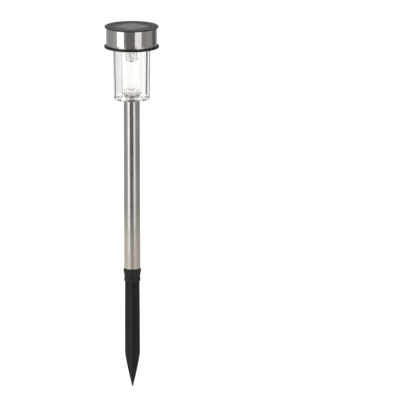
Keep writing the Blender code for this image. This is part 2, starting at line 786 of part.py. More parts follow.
def build_chip(finish, parent):
    """Driver chip with four leads on each side."""
    low = BOARD_TOP_Z + GAP
    centre = (6.0 * MM, 6.5 * MM)
    half_x = 2.45 * MM
    half_y = 1.5 * MM
    body_low = low + 0.15 * MM
    outline = [(x + centre[0], y + centre[1]) for x, y in rounded_rectangle(half_x, half_y, 0.2 * MM, 1)]
    bm = bmesh.new()
    slab(bm, outline, body_low, body_low + 1.4 * MM)
    chip = place("driver_chip", finish_mesh("driver_chip", bm), finish, parent)
    bm = bmesh.new()
    lead_pitch = 1.27 * MM
    lead_half = 0.2 * MM
    for side in (-1.0, 1.0):
        for index in range(4):
            x = centre[0] + (index - 1.5) * lead_pitch
            near = centre[1] + side * (half_y - 0.2 * MM)
            far = centre[1] + side * (half_y + 0.9 * MM)
            low_y = min(near, far)
            high_y = max(near, far)
            block(bm, (x - lead_half, low_y, low), (x + lead_half, high_y, low + 0.7 * MM))
    combine(chip, helper("chip_lead_shapes", finish_mesh("chip_leads", bm), chip), "UNION")
    return chip


def build_inductor(finish, parent):
    """Drum inductor, standing on the board."""
    low = BOARD_TOP_Z + GAP
    profile = (
        (0.0, low),
        (2.2 * MM, low),
        (2.2 * MM, low + 0.6 * MM),
        (1.8 * MM, low + 0.8 * MM),
        (1.8 * MM, low + 2.8 * MM),
        (2.2 * MM, low + 3.0 * MM),
        (2.2 * MM, low + 3.6 * MM),
        (0.0, low + 3.6 * MM),
    )
    centre = (-6.0 * MM, 6.5 * MM, 0.0)
    return place("inductor", turned_mesh("inductor", profile, SMALL_STEPS), finish, parent, centre)


# -------------------------------------------------------------------- battery


def build_battery(finish, parent):
    """Cell with its raised end towards +X."""
    half = 0.5 * BATTERY_LENGTH
    shoulder = half - 0.9 * MM
    edge = 0.4 * MM
    profile = (
        (0.0, -half),
        (BATTERY_RADIUS - edge, -half),
        (BATTERY_RADIUS, edge - half),
        (BATTERY_RADIUS, shoulder - edge),
        (BATTERY_RADIUS - edge, shoulder),
        (1.9 * MM, shoulder),
        (1.7 * MM, half),
        (0.0, half),
    )
    mesh = turned_mesh("battery_cell", profile, 32, turn_to_x=True)
    return place("battery_cell", mesh, finish, parent, (0.0, BATTERY_Y, BATTERY_Z))


def contact_plate(name, low_x, finish, parent):
    """Upright contact plate with a tab for its wire at the top."""
    half_y = 2.6 * MM
    low = FLOOR_TOP_Z + GAP
    high = BATTERY_Z + 1.2 * MM
    bm = bmesh.new()
    block(bm, (low_x, BATTERY_Y - half_y, low), (low_x + CONTACT_THICKNESS, BATTERY_Y + half_y, high))
    plate = place(name, finish_mesh(name, bm), finish, parent)
    bm = bmesh.new()
    tab_low = (low_x, BATTERY_Y + 1.2 * MM, high - OVERLAP)
    tab_high = (low_x + CONTACT_THICKNESS, BATTERY_Y + half_y, high + 1.0 * MM)
    block(bm, tab_low, tab_high)
    combine(plate, helper(name + "_tab_shape", finish_mesh("tab", bm), plate), "UNION")
    return plate


def tube_curve(name, points, radius, finish, parent):
    """Round wire through the given points, with flat closed ends."""
    curve = bpy.data.curves.new(name, "CURVE")
    curve.dimensions = "3D"
    curve.bevel_depth = radius
    curve.bevel_resolution = 2
    curve.use_fill_caps = True
    spline = curve.splines.new("POLY")
    spline.points.add(len(points) - 1)
    for point, position in zip(spline.points, points):
        point.co = (*position, 1.0)
    piece = bpy.data.objects.new(name, curve)
    bpy.context.scene.collection.objects.link(piece)
    curve.materials.append(finish)
    piece.parent = parent
    piece.matrix_parent_inverse = Matrix.Translation(parent.location).inverted()
    return piece


def build_spring(finish, parent):
    """Cone spring between the cell's flat end and the minus plate."""
    turns = 2.0
    wire = 0.28 * MM
    steps = 22
    start_x = -0.5 * BATTERY_LENGTH - GAP - wire
    points = []
    for step in range(steps + 1):
        along = step / steps
        angle = 2.0 * math.pi * turns * along
        radius = (1.3 + 1.1 * along) * MM
        x = start_x - (SPRING_LENGTH - 2.0 * wire) * along
        y = BATTERY_Y + radius * math.cos(angle)
        z = BATTERY_Z + radius * math.sin(angle)
        points.append((x, y, z))
    return tube_curve("battery_minus_spring", points, wire, finish, parent)


def smooth_route(points, steps=3):
    """Even points on a smooth curve through the given ones (Catmull-Rom)."""
    knots = [Vector(point) for point in points]
    knots = [2.0 * knots[0] - knots[1]] + knots + [2.0 * knots[-1] - knots[-2]]
    route = []
    for a, b, c, d in zip(knots, knots[1:], knots[2:], knots[3:]):
        for step in range(steps):
            t = step / steps
            linear = (c - a) * t
            square = (2.0 * a - 5.0 * b + 4.0 * c - d) * t * t
            cube = (3.0 * b - a - 3.0 * c + d) * t * t * t
            route.append(b + 0.5 * (linear + square + cube))
    route.append(knots[-2])
    return [tuple(point) for point in route]


def build_wires(red, black, parent):
    """Two wires from the panel and two from the battery, all to the board."""
    cell_back = HEAD_TOP_Z - RECESS_DEPTH
    board = BOARD_TOP_Z + GAP
    disc_bottom = cell_back - DISC_FLOOR
    for side, name, finish in ((1.0, "panel_wire_red", red), (-1.0, "panel_wire_black", black)):
        route = (
            (side * PANEL_WIRE_X, PANEL_WIRE_Y, cell_back),
            (side * PANEL_WIRE_X, PANEL_WIRE_Y, disc_bottom - 0.6 * MM),
            (side * 4.6 * MM, 2.4 * MM, disc_bottom - 2.2 * MM),
            (side * 7.6 * MM, 1.2 * MM, board + 1.6 * MM),
            (side * 8.6 * MM, 1.0 * MM, board),
        )
        tube_curve(name, smooth_route(route), WIRE_RADIUS, finish, parent)
    tab_top = BATTERY_Z + 2.2 * MM + GAP
    starts = ((1.0, 15.0 * MM, "battery_wire_red", red), (-1.0, 16.7 * MM, "battery_wire_black", black))
    for side, start_x, name, finish in starts:
        route = (
            (side * start_x, BATTERY_Y + 2.0 * MM, tab_top),
            (side * start_x, BATTERY_Y + 2.3 * MM, tab_top + 0.8 * MM),
            (side * 15.4 * MM, BATTERY_Y + 4.8 * MM, tab_top + 1.0 * MM),
            (side * 12.6 * MM, BATTERY_Y + 5.4 * MM, tab_top + 1.1 * MM),
            (side * 9.8 * MM, BATTERY_Y + 7.2 * MM, tab_top + 0.4 * MM),
            (side * 9.0 * MM, BOARD_FRONT_Y + 1.6 * MM, board + 1.0 * MM),
            (side * 9.0 * MM, BOARD_FRONT_Y + 1.8 * MM, board),
        )
        tube_curve(name, smooth_route(route), WIRE_RADIUS, finish, parent)


# ------------------------------------------------------------ switch and screws


def build_switch(finish, knob_finish, parent):
    """Slide switch under the board, with its knob standing in a pocket."""
    low = FLOOR_TOP_Z + GAP
    high = low + SWITCH_HEIGHT
    half_x = 4.3 * MM
    half_y = 1.85 * MM
    bm = bmesh.new()
    block(bm, (-half_x, SWITCH_Y - half_y, low), (half_x, SWITCH_Y + half_y, high))
    body = place("switch_body", finish_mesh("switch_body", bm), finish, parent)
    pocket_top = low + 2.2 * MM
    pocket_x = 0.5 * (SWITCH_TRAVEL + KNOB_SIDE) + GAP
    pocket_y = 0.5 * KNOB_SIDE + GAP
    bm = bmesh.new()
    low_corner = (-pocket_x, SWITCH_Y - pocket_y, low - OVERLAP)
    block(bm, low_corner, (pocket_x, SWITCH_Y + pocket_y, pocket_top))
    combine(body, helper("switch_pocket_shape", finish_mesh("switch_pocket", bm), body), "DIFFERENCE")
    half = 0.5 * KNOB_SIDE
    bm = bmesh.new()
    block(bm, (-half, -half, 0.0), (half, half, pocket_top - GAP - KNOB_BOTTOM_Z))
    start = (-0.5 * SWITCH_TRAVEL, SWITCH_Y, KNOB_BOTTOM_Z)
    place("switch_knob", finish_mesh("switch_knob", bm), knob_finish, parent, start)


def build_screws(finish, parent):
    """Pan-head screws that reach up from the floor's underside into the bosses."""
    head_top = FLOOR_BOTTOM_Z - GAP
    head_bottom = head_top - SCREW_HEAD_HEIGHT
    profile = (
        (0.0, head_bottom),
        (1.2 * MM, head_bottom),
        (1.8 * MM, head_bottom + 0.5 * MM),
        (SCREW_HEAD_RADIUS, head_bottom + 0.9 * MM),
        (SCREW_HEAD_RADIUS, head_top),
        (SCREW_RADIUS, head_top),
        (SCREW_RADIUS, SCREW_TIP_Z - 1.2 * MM),
        (0.0, SCREW_TIP_Z),
    )
    mesh = turned_mesh("housing_screw", profile, 16)
    mesh.materials.append(finish)
    for index, centre in enumerate(screw_centres()):
        place(f"housing_screw_{index + 1}", mesh, None, parent, (*centre, 0.0))


def main():
    clear_scene()
    black = black_plastic()
    steel = stainless_steel()
    plated = plated_steel()
    clear = clear_plastic()
    red_jacket = wire_jacket("red_wire_jacket", (0.55, 0.03, 0.02))
    black_jacket = wire_jacket("black_wire_jacket", (0.02, 0.02, 0.02))
    build_spike(black)
    build_tube(steel)
    build_lens(clear)
    build_seal(rubber())
    housing = build_housing(black)
    build_band(steel, housing)
    build_disc(grey_plastic(), housing)
    build_window(clear, housing)
    build_cell(cell_silicon(), housing)
    build_led(clear, housing)
    build_legs(plated, housing)
    build_sleeve(clear, housing)
    build_board(board_laminate(), housing)
    build_chip(black, housing)
    build_inductor(ferrite(), housing)
    build_battery(battery_jacket(), housing)
    plus_x = 0.5 * BATTERY_LENGTH + GAP
    minus_x = -0.5 * BATTERY_LENGTH - SPRING_LENGTH - 2.0 * GAP - CONTACT_THICKNESS
    contact_plate("battery_plus_contact", plus_x, plated, housing)
    contact_plate("battery_minus_contact", minus_x, plated, housing)
    build_spring(plated, housing)
    build_wires(red_jacket, black_jacket, housing)
    build_switch(black, black, housing)
    build_screws(plated, housing)


main()
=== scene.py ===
"""Looks of the solar garden light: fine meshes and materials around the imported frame."""
import math

import bmesh
import bpy
from mathutils import Matrix, Quaternion, Vector


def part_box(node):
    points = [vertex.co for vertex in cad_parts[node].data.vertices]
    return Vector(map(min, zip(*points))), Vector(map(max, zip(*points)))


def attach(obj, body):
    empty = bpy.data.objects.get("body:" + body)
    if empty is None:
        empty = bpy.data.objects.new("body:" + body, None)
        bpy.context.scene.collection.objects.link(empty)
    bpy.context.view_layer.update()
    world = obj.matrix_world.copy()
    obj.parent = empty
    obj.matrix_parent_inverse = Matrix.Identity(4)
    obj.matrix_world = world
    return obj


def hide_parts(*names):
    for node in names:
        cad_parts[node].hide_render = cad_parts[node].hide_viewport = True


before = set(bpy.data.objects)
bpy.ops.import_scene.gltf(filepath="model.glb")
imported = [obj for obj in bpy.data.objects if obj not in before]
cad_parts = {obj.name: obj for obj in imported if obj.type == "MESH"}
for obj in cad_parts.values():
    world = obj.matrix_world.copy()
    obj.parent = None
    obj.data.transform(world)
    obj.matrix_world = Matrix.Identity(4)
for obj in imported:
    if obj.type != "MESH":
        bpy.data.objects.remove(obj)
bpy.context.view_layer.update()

MM = 0.001
GAP = 0.3 * MM

# Places that the frame gives, in metres
SPIKE_LOW, SPIKE_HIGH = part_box("ground_spike")
TUBE_LOW, TUBE_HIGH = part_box("tube")
LENS_LOW, LENS_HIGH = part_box("lens")
SEAL_LOW, SEAL_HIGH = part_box("head_seal")
HOUSING_LOW, HOUSING_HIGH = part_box("base_housing")
BAND_LOW, BAND_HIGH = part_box("cap_band")
DISC_LOW, DISC_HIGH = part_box("top_disc")
WINDOW_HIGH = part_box("panel_window")[1]
CELL_LOW, CELL_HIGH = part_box("solar_cell")
LED_LOW, LED_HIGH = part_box("led")
SLEEVE_LOW, SLEEVE_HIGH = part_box("led_sleeve")
CATHODE_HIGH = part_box("led_leg_cathode")[1]
BATTERY_LOW, BATTERY_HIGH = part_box("battery_cell")
BOARD_LOW, BOARD_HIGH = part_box("circuit_board")
KNOB_LOW, KNOB_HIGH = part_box("switch_knob")
SCREW_NODES = ("housing_screw_1", "housing_screw_2", "housing_screw_3")
SCREW_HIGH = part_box(SCREW_NODES[0])[1]

# Mesh making
ON_AXIS = 1e-7
SHARP_ANGLE = math.radians(40.0)
BEVEL_ANGLE = math.radians(35.0)
QUARTER = math.radians(90.0)

# Clear cup
LENS_BOTTOM_RADIUS = 17.6 * MM
LENS_TOP_RADIUS = 18.4 * MM
NECK_WALL = 1.6 * MM
LENS_WALL = 2.0 * MM
LENS_FLOOR = 2.0 * MM
FLUTE_COUNT = 36
FLUTE_DEPTH = 0.012 * MM
SOCKET_RADIUS = 8.3 * MM
SOCKET_WALL = 1.6 * MM
BOSS_FLUTE_COUNT = 18
BOSS_FLUTE_DEPTH = 0.05 * MM
BOSS_FLUTE_TURN = math.radians(-30.0)
BOSS_HAZE = 0.04
BOSS_SIDE_MILK = 0.0
BOSS_TOP_MILK = 0.85
BOSS_CONE = 0.5 * MM
CUP_TINT = (0.984, 0.981, 0.975)

# Bayonet between the cup and the head
LUG_ANGLES = tuple(math.radians(120.0) * lug for lug in range(3))
LUG_HALF_ANGLE = math.radians(7.0)
LUG_RADIUS = 20.1 * MM
SLOT_HALF_ANGLE = math.radians(9.0)
SLOT_RADIUS = 20.5 * MM
CHANNEL_RADIUS = 20.7 * MM
LOCK_ANGLE = math.radians(25.0)

# Head and steel sheet
FLOOR_LOW = SEAL_HIGH.z + GAP
SHEET = 0.5 * MM
INSIDE_BAND_RADIUS = BAND_HIGH.x - 0.89 * MM
SCREW_BORE_RADIUS = 1.35 * MM
GUIDE_OVERLAP = 0.4 * MM

# Spike
SPIKE_TURN = math.radians(-8.0)
COLLAR_TOP = TUBE_LOW.z - GAP
FIN_STRAIGHT_Z = -71.0 * MM

# Camera and stage
CAMERA_ELEVATION = math.radians(11.8)
CAMERA_ROLL = math.radians(0.17)
CAMERA_DISTANCE = 12.0
SENSOR_WIDTH = 36.0
FRAME_WIDTH = 0.3915
AIM_HEIGHT = 81.0 * MM
SIDE_SHIFT = 0.1698
FLOOR_Z = SPIKE_LOW.z - 0.2 * MM
CARD_DISTANCE = 0.75


# ---- mesh tools


def fillet_points(before, corner, after, radius, steps, support):
    """Points of the arc that rounds one corner, with a support point each side if asked."""
    to_before = before - corner
    to_after = after - corner
    half = 0.5 * to_before.angle(to_after)
    reach = radius / math.tan(half)
    limit = 0.48 * min(to_before.length, to_after.length)
    if reach > limit:
        radius *= limit / reach
        reach = limit
    start = corner + to_before.normalized() * reach
    end = corner + to_after.normalized() * reach
    inward = to_before.normalized() + to_after.normalized()
    centre = corner + inward.normalized() * (radius / math.sin(half))
    first = start - centre
    last = end - centre
    sweep = first.angle(last)
    points = []
    for step in range(steps + 1):
        share = step / steps
        a = math.sin((1.0 - share) * sweep) / math.sin(sweep)
        b = math.sin(share * sweep) / math.sin(sweep)
        points.append(centre + first * a + last * b)
    lead = min(0.35 * reach, limit - reach)
    if support and lead > 0.02 * MM:
        points.insert(0, start + to_before.normalized() * lead)
        points.append(end + to_after.normalized() * lead)
    return points


def spun(x, y, angle):
    """A point turned about the origin."""
    return x * math.cos(angle) - y * math.sin(angle), x * math.sin(angle) + y * math.cos(angle)


def rounded(corners, closed=True, steps=4, support=True):
    """Outline through (x, y, corner radius in mm) with true arcs at its corners."""
    outline = []
    count = len(corners)
    for index, (x, y, radius) in enumerate(corners):
        at_end = not closed and index in (0, count - 1)
        if radius == 0.0 or at_end:
            outline.append(Vector((x, y)))
            continue
        before = Vector(corners[index - 1][:2])
        after = Vector(corners[(index + 1) % count][:2])
        outline += fillet_points(before, Vector((x, y)), after, radius * MM, steps, support)
    return outline


def ring_profile(inner, outer, low, high, radii):
    """Corners of a plain ring's section, from the inner lower one round."""
    return list(zip((inner, outer, outer, inner), (low, low, high, high), radii))


def rod(radius, low, high):
    """Profile of a plain rod, for add_turned."""
    return [(0.0, low), (radius, low), (radius, high), (0.0, high)]


def subdivided(outline, closed, longest):
    """The outline with its long stretches cut into equal shorter ones."""
    result = []
    pairs = list(zip(outline, outline[1:]))
    if closed:
        pairs.append((outline[-1], outline[0]))
    for a, b in pairs:
        pieces = max(1, math.ceil((b - a).length / longest))
        result += [a.lerp(b, piece / pieces) for piece in range(pieces)]
    if not closed:
        result.append(outline[-1])
    return result


def add_turned(bm, outline, steps, shift=None, centre=(0.0, 0.0)):
    """Turn an outline of (radius, z) about Z. shift(angle, radius, z) adds to a radius."""
    rings = []
    for point in outline:
        radius, height = point[0], point[1]
        if radius < ON_AXIS:
            rings.append([bm.verts.new((centre[0], centre[1], height))])
            continue
        ring = []
        for step in range(steps):
            angle = 2.0 * math.pi * step / steps
            reach = radius + (shift(angle, radius, height) if shift else 0.0)
            x = centre[0] + reach * math.cos(angle)
            y = centre[1] + reach * math.sin(angle)
            ring.append(bm.verts.new((x, y, height)))
        rings.append(ring)
    pairs = list(zip(rings, rings[1:]))
    if len(rings[0]) > 1:
        pairs.append((rings[-1], rings[0]))
    for low, high in pairs:
        for step in range(steps):
            after = (step + 1) % steps
            if len(low) == 1:
                bm.faces.new((low[0], high[step], high[after]))
            elif len(high) == 1:
                bm.faces.new((low[step], low[after], high[0]))
            else:
                bm.faces.new((low[step], low[after], high[after], high[step]))


def add_stack(bm, sections):
    """Close a stack of sections with equal numbers of points into one body."""
    loops = [[bm.verts.new(point) for point in section] for section in sections]
    for low, high in zip(loops, loops[1:]):
        for index in range(len(low)):
            after = (index + 1) % len(low)
            bm.faces.new((low[index], low[after], high[after], high[index]))
    bm.faces.new(loops[0])
    bm.faces.new(loops[-1])


def add_block(bm, low, high):
    """Rectangular block between two opposite corners."""
    corners = ((low[0], low[1]), (high[0], low[1]), (high[0], high[1]), (low[0], high[1]))
    add_stack(bm, [[(x, y, z) for x, y in corners] for z in (low[2], high[2])])


def add_sector(bm, inner, outer, low, high, start, end, steps=8):
    """Block between two radii, two heights and two angles."""
    angles = [start + (end - start) * step / steps for step in range(steps + 1)]
    outline = [(inner * math.cos(a), inner * math.sin(a)) for a in angles]
    outline += [(outer * math.cos(a), outer * math.sin(a)) for a in reversed(angles)]
    add_stack(bm, [[(x, y, z) for x, y in outline] for z in (low, high)])


def add_wire(bm, points, radius, sides):
    """Round wire along points, with flat ends."""
    points = [Vector(point) for point in points]
    loops = []
    normal = None
    for index, point in enumerate(points):
        ahead = points[min(index + 1, len(points) - 1)]
        behind = points[max(index - 1, 0)]
        tangent = (ahead - behind).normalized()
        if normal is None:
            normal = tangent.orthogonal().normalized()
        normal = (normal - tangent * normal.dot(tangent)).normalized()
        side = tangent.cross(normal)
        loop = []
        for step in range(sides):
            angle = 2.0 * math.pi * step / sides
            loop.append(point + (normal * math.cos(angle) + side * math.sin(angle)) * radius)
        loops.append(loop)
    add_stack(bm, loops)


def finish(name, bm):
    """Turn a bmesh into an object with outward faces and smooth round sides."""
    bmesh.ops.recalc_face_normals(bm, faces=bm.faces)
    mesh = bpy.data.meshes.new(name)
    bm.to_mesh(mesh)
    bm.free()
    mesh.shade_smooth()
    mesh.set_sharp_from_angle(angle=SHARP_ANGLE)
    piece = bpy.data.objects.new(name, mesh)
    bpy.context.scene.collection.objects.link(piece)
    return piece


def turned(name, corners, steps, longest=None, shift=None, centre=(0.0, 0.0)):
    """Object turned about an upright axis from a profile of (radius, z, corner radius in mm).

    A profile that starts on the axis also ends there, and any other closes on itself.
    """
    closed = corners[0][0] > ON_AXIS
    outline = rounded(corners, closed)
    if longest:
        outline = subdivided(outline, closed, longest)
    bm = bmesh.new()
    add_turned(bm, outline, steps, shift, centre)
    return finish(name, bm)


def stack(name, sections):
    """Object made of one stack of sections."""
    bm = bmesh.new()
    add_stack(bm, sections)
    return finish(name, bm)


def combine(piece, guide, operation):
    """Join a guide's shape to a piece or cut it away, then remove the guide."""
    modifier = piece.modifiers.new("shape", "BOOLEAN")
    modifier.operation = operation
    modifier.solver = "EXACT"
    modifier.object = guide
    depsgraph = bpy.context.evaluated_depsgraph_get()
    mesh = bpy.data.meshes.new_from_object(piece.evaluated_get(depsgraph))
    piece.modifiers.clear()
    piece.data = mesh
    bpy.data.objects.remove(guide, do_unlink=True)
    mesh.shade_smooth()
    mesh.set_sharp_from_angle(angle=SHARP_ANGLE)


def soften(piece, width):
    """Small round edges on a piece made of flat faces."""
    bevel = piece.modifiers.new("edges", "BEVEL")
    bevel.width = width
    bevel.segments = 2
    bevel.limit_method = "ANGLE"
    bevel.angle_limit = BEVEL_ANGLE
    bevel.harden_normals = True


def middle_of(node):
    """Middle of a CAD node in X and Y."""
    low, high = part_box(node)
    return 0.5 * (low.x + high.x), 0.5 * (low.y + high.y)


def put(piece, body, finish_material, slot, *nodes):
    """Give a piece its material and body, and hide the CAD nodes it stands for. The slot is not
    used.
    """
    piece.data.materials.clear()
    piece.data.materials.append(finish_material)
    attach(piece, body)
    if nodes:
        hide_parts(*nodes)


# ---- materials


class Nodes:
    """Short names for building one material's nodes."""

    def __init__(self, name):
        self.material = bpy.data.materials.new(name)
        self.material.use_nodes = True
        self.tree = self.material.node_tree
        self.shader = self.tree.nodes["Principled BSDF"]

    def add(self, kind, **values):
        node = self.tree.nodes.new(kind)
        for key, value in values.items():
            setattr(node, key, value)
        return node

    def link(self, source, target):
        self.tree.links.new(source, target)

    def fill(self, node, **values):
        """Set a node's sockets by name, with _ for a space."""
        for key, value in values.items():
            node.inputs[key.replace("_", " ")].default_value = value

    def set(self, **values):
        """Set the shader's sockets."""
        self.fill(self.shader, **values)

    def place(self, scale=(1.0, 1.0, 1.0), turn=(0.0, 0.0, 0.0)):
        """Object coordinates, scaled and turned, with 1 as one metre."""
        source = self.add("ShaderNodeTexCoord").outputs["Object"]
        mapping = self.add("ShaderNodeMapping")
        self.fill(mapping, Scale=scale, Rotation=turn)
        self.link(source, mapping.inputs["Vector"])
        return mapping.outputs["Vector"]

    def noise(self, vector, scale, detail=3.0, roughness=0.5, distortion=0.0):
        node = self.add("ShaderNodeTexNoise")
        self.fill(node, Scale=scale, Detail=detail, Roughness=roughness, Distortion=distortion)
        self.link(vector, node.inputs["Vector"])
        return node.outputs["Fac"]

    def spread(self, value, low, high, start=0.3, end=0.7):
        """Map a value between start and end onto low to high."""
        node = self.add("ShaderNodeMapRange")
        self.fill(node, From_Min=start, From_Max=end, To_Min=low, To_Max=high)
        self.link(value, node.inputs["Value"])
        return node.outputs["Result"]

    def tones(self, value, dark, light, start=0.3, end=0.7):
        """Colour from dark to light as a value goes from start to end."""
        node = self.add("ShaderNodeValToRGB")
        ends = ((start, dark), (end, light))
        for element, (place, tone) in zip(node.color_ramp.elements, ends):
            element.position = place
            element.color = (*tone, 1.0)
        self.link(value, node.inputs["Fac"])
        return node.outputs["Color"]

    def math(self, operation, a, b):
        node = self.add("ShaderNodeMath", operation=operation)
        for socket, value in zip(node.inputs, (a, b)):
            if isinstance(value, (int, float)):
                socket.default_value = value
            else:
                self.link(value, socket)
        return node.outputs["Value"]

    def split(self, vector):
        """The X, Y and Z of a vector."""
        node = self.add("ShaderNodeSeparateXYZ")
        self.link(vector, node.inputs["Vector"])
        return node.outputs

    def colour(self, source):
        self.link(source, self.shader.inputs["Base Color"])

    def rough(self, source):
        self.link(source, self.shader.inputs["Roughness"])

    def relief(self, height, strength, depth):
        """Fine relief of the surface, with its depth in mm."""
        node = self.add("ShaderNodeBump")
        self.fill(node, Strength=strength, Distance=depth * MM)
        self.link(height, node.inputs["Height"])
        self.link(node.outputs["Normal"], self.shader.inputs["Normal"])


def moulded_plastic(name, dark, light, rough_low, rough_high, gloss):
    """Moulded plastic with a fine grain, faint flow marks and uneven gloss."""
    nodes = Nodes(name)
    here = nodes.place()
    flow = nodes.noise(nodes.place((1.0, 1.0, 0.25)), 90.0, 4.0, 0.55, 0.6)
    nodes.colour(nodes.tones(flow, dark, light, 0.3, 0.72))
    nodes.rough(nodes.spread(nodes.noise(here, 260.0), rough_low, rough_high))
    nodes.relief(nodes.noise(here, 1800.0, 2.0), 0.35, 0.03)
    nodes.set(Specular_IOR_Level=gloss)
    return nodes.material


def drawn_steel(name):
    """Bright stainless sheet with fine rubbed lines round it and faint clouding."""
    nodes = Nodes(name)
    lines = nodes.noise(nodes.place((14.0, 14.0, 900.0)), 4.0, 3.0, 0.6)
    cloud = nodes.noise(nodes.place(), 55.0, 3.0, 0.5, 0.4)
    nodes.colour(nodes.tones(cloud, (0.60, 0.585, 0.565), (0.665, 0.655, 0.64), 0.32, 0.68))
    line_part = nodes.math("MULTIPLY", lines, 0.7)
    both = nodes.math("ADD", line_part, nodes.math("MULTIPLY", cloud, 0.3))
    nodes.rough(nodes.spread(both, 0.07, 0.16, 0.35, 0.65))
    nodes.relief(lines, 0.10, 0.02)
    nodes.set(Metallic=1.0, Anisotropic=0.6, Anisotropic_Rotation=0.25)
    tangent = nodes.add("ShaderNodeTangent", direction_type="RADIAL", axis="Z")
    nodes.link(tangent.outputs["Tangent"], nodes.shader.inputs["Tangent"])
    return nodes.material


def clear_moulding(name, tint=(0.985, 0.99, 0.988), ior=1.5, rough=0.015, ripple=0.02):
    """Clear injection-moulded plastic with slight ripples and haze."""
    nodes = Nodes(name)
    wave = nodes.noise(nodes.place((1.0, 1.0, 0.35)), 120.0, 2.0)
    haze = nodes.noise(nodes.place(), 300.0)
    nodes.colour(nodes.tones(haze, tint, [min(1.0, c + 0.01) for c in tint]))
    nodes.rough(nodes.spread(haze, rough, rough + 0.02))
    nodes.relief(wave, 0.2, ripple)
    nodes.set(IOR=ior, Transmission_Weight=1.0)
    return nodes.material


def cup_plastic(name, boss_radius, cap_low, boss_top):
    """Clear cup plastic that turns milky on the socket's boss, most of all on its top."""
    nodes = Nodes(name)
    here = nodes.place()
    haze = nodes.noise(here, 300.0)
    nodes.colour(nodes.tones(haze, CUP_TINT, [c + 0.008 for c in CUP_TINT]))
    height = nodes.split(here)["Z"]
    from_axis = nodes.add("ShaderNodeVectorMath", operation="LENGTH")
    nodes.link(nodes.place((1.0, 1.0, 0.0)), from_axis.inputs[0])
    near_axis = nodes.math("LESS_THAN", from_axis.outputs["Value"], boss_radius)
    below_top = nodes.math("LESS_THAN", height, boss_top + 0.1 * MM)
    on_boss = nodes.math("MULTIPLY", near_axis, below_top)
    clear = nodes.spread(haze, 0.01, 0.03)
    nodes.rough(nodes.math("MAXIMUM", clear, nodes.math("MULTIPLY", on_boss, BOSS_HAZE)))
    turn_low = cap_low - 0.3 * MM
    turn_high = cap_low + 0.3 * MM
    milk = nodes.spread(height, BOSS_SIDE_MILK, BOSS_TOP_MILK, turn_low, turn_high)
    clearness = nodes.math("SUBTRACT", 1.0, nodes.math("MULTIPLY", on_boss, milk))
    nodes.link(clearness, nodes.shader.inputs["Transmission Weight"])
    nodes.relief(nodes.noise(nodes.place((1.0, 1.0, 0.35)), 120.0, 2.0), 0.2, 0.02)
    nodes.set(IOR=1.5)
    return nodes.material


def plated_metal(name, bright):
    """Plated metal with small cloudy stains and fine scratches."""
    nodes = Nodes(name)
    cloud = nodes.noise(nodes.place(), 420.0)
    nodes.colour(nodes.tones(cloud, [0.82 * c for c in bright], bright))
    nodes.rough(nodes.spread(cloud, 0.2, 0.34))
    scratches = nodes.noise(nodes.place((400.0, 400.0, 3000.0)), 1.0, 2.0)
    nodes.relief(scratches, 0.12, 0.02)
    nodes.set(Metallic=1.0)
    return nodes.material


def soft_rubber(name):
    """Dull rubber with a fine pitted surface."""
    nodes = Nodes(name)
    here = nodes.place()
    nodes.colour(nodes.tones(nodes.noise(here, 300.0), (0.02,) * 3, (0.045,) * 3))
    nodes.rough(nodes.spread(nodes.noise(here, 700.0), 0.6, 0.85))
    nodes.relief(nodes.noise(here, 2600.0, 2.0), 0.5, 0.04)
    return nodes.material


def cell_silicon(name):
    """Dark silicon with thin collector fingers across each strip."""
    nodes = Nodes(name)
    finger_pitch = 1.25 * MM
    finger_half_width = 0.06 * MM
    across = nodes.split(nodes.place(turn=(0.0, 0.0, math.radians(45.0))))["X"]
    fingers = nodes.math("PINGPONG", across, 0.5 * finger_pitch)
    on_finger = nodes.math("LESS_THAN", fingers, finger_half_width)
    grain = nodes.noise(nodes.place(), 500.0, 2.0)
    base = nodes.tones(grain, (0.045, 0.049, 0.062), (0.06, 0.065, 0.08), 0.35, 0.65)
    mix = nodes.add("ShaderNodeMix", data_type="RGBA")
    nodes.link(on_finger, mix.inputs["Factor"])
    nodes.link(base, mix.inputs["A"])
    mix.inputs["B"].default_value = (0.42, 0.42, 0.41, 1.0)
    nodes.colour(mix.outputs["Result"])
    nodes.rough(nodes.spread(grain, 0.3, 0.42))
    return nodes.material


def laminate(name):
    """Paper laminate with paler and darker fibres."""
    nodes = Nodes(name)
    fibres = nodes.noise(nodes.place((1.0, 4.0, 1.0)), 900.0, 4.0)
    nodes.colour(nodes.tones(fibres, (0.27, 0.19, 0.07), (0.42, 0.32, 0.15)))
    nodes.rough(nodes.spread(fibres, 0.4, 0.6))
    return nodes.material


def jacket(name, dark, light, rough=0.35):
    """Soft plastic jacket with slightly uneven colour and gloss."""
    nodes = Nodes(name)
    here = nodes.place()
    nodes.colour(nodes.tones(nodes.noise(here, 400.0), dark, light))
    nodes.rough(nodes.spread(nodes.noise(here, 900.0), rough, rough + 0.12))
    nodes.relief(nodes.noise(here, 1500.0), 0.2, 0.02)
    return nodes.material


def lamp_phosphor(name):
    """Pale yellow phosphor of a white light."""
    nodes = Nodes(name)
    grains = nodes.noise(nodes.place(), 6000.0, 2.0)
    nodes.colour(nodes.tones(grains, (0.75, 0.66, 0.25), (0.9, 0.82, 0.4)))
    nodes.rough(nodes.spread(grains, 0.5, 0.7))
    return nodes.material


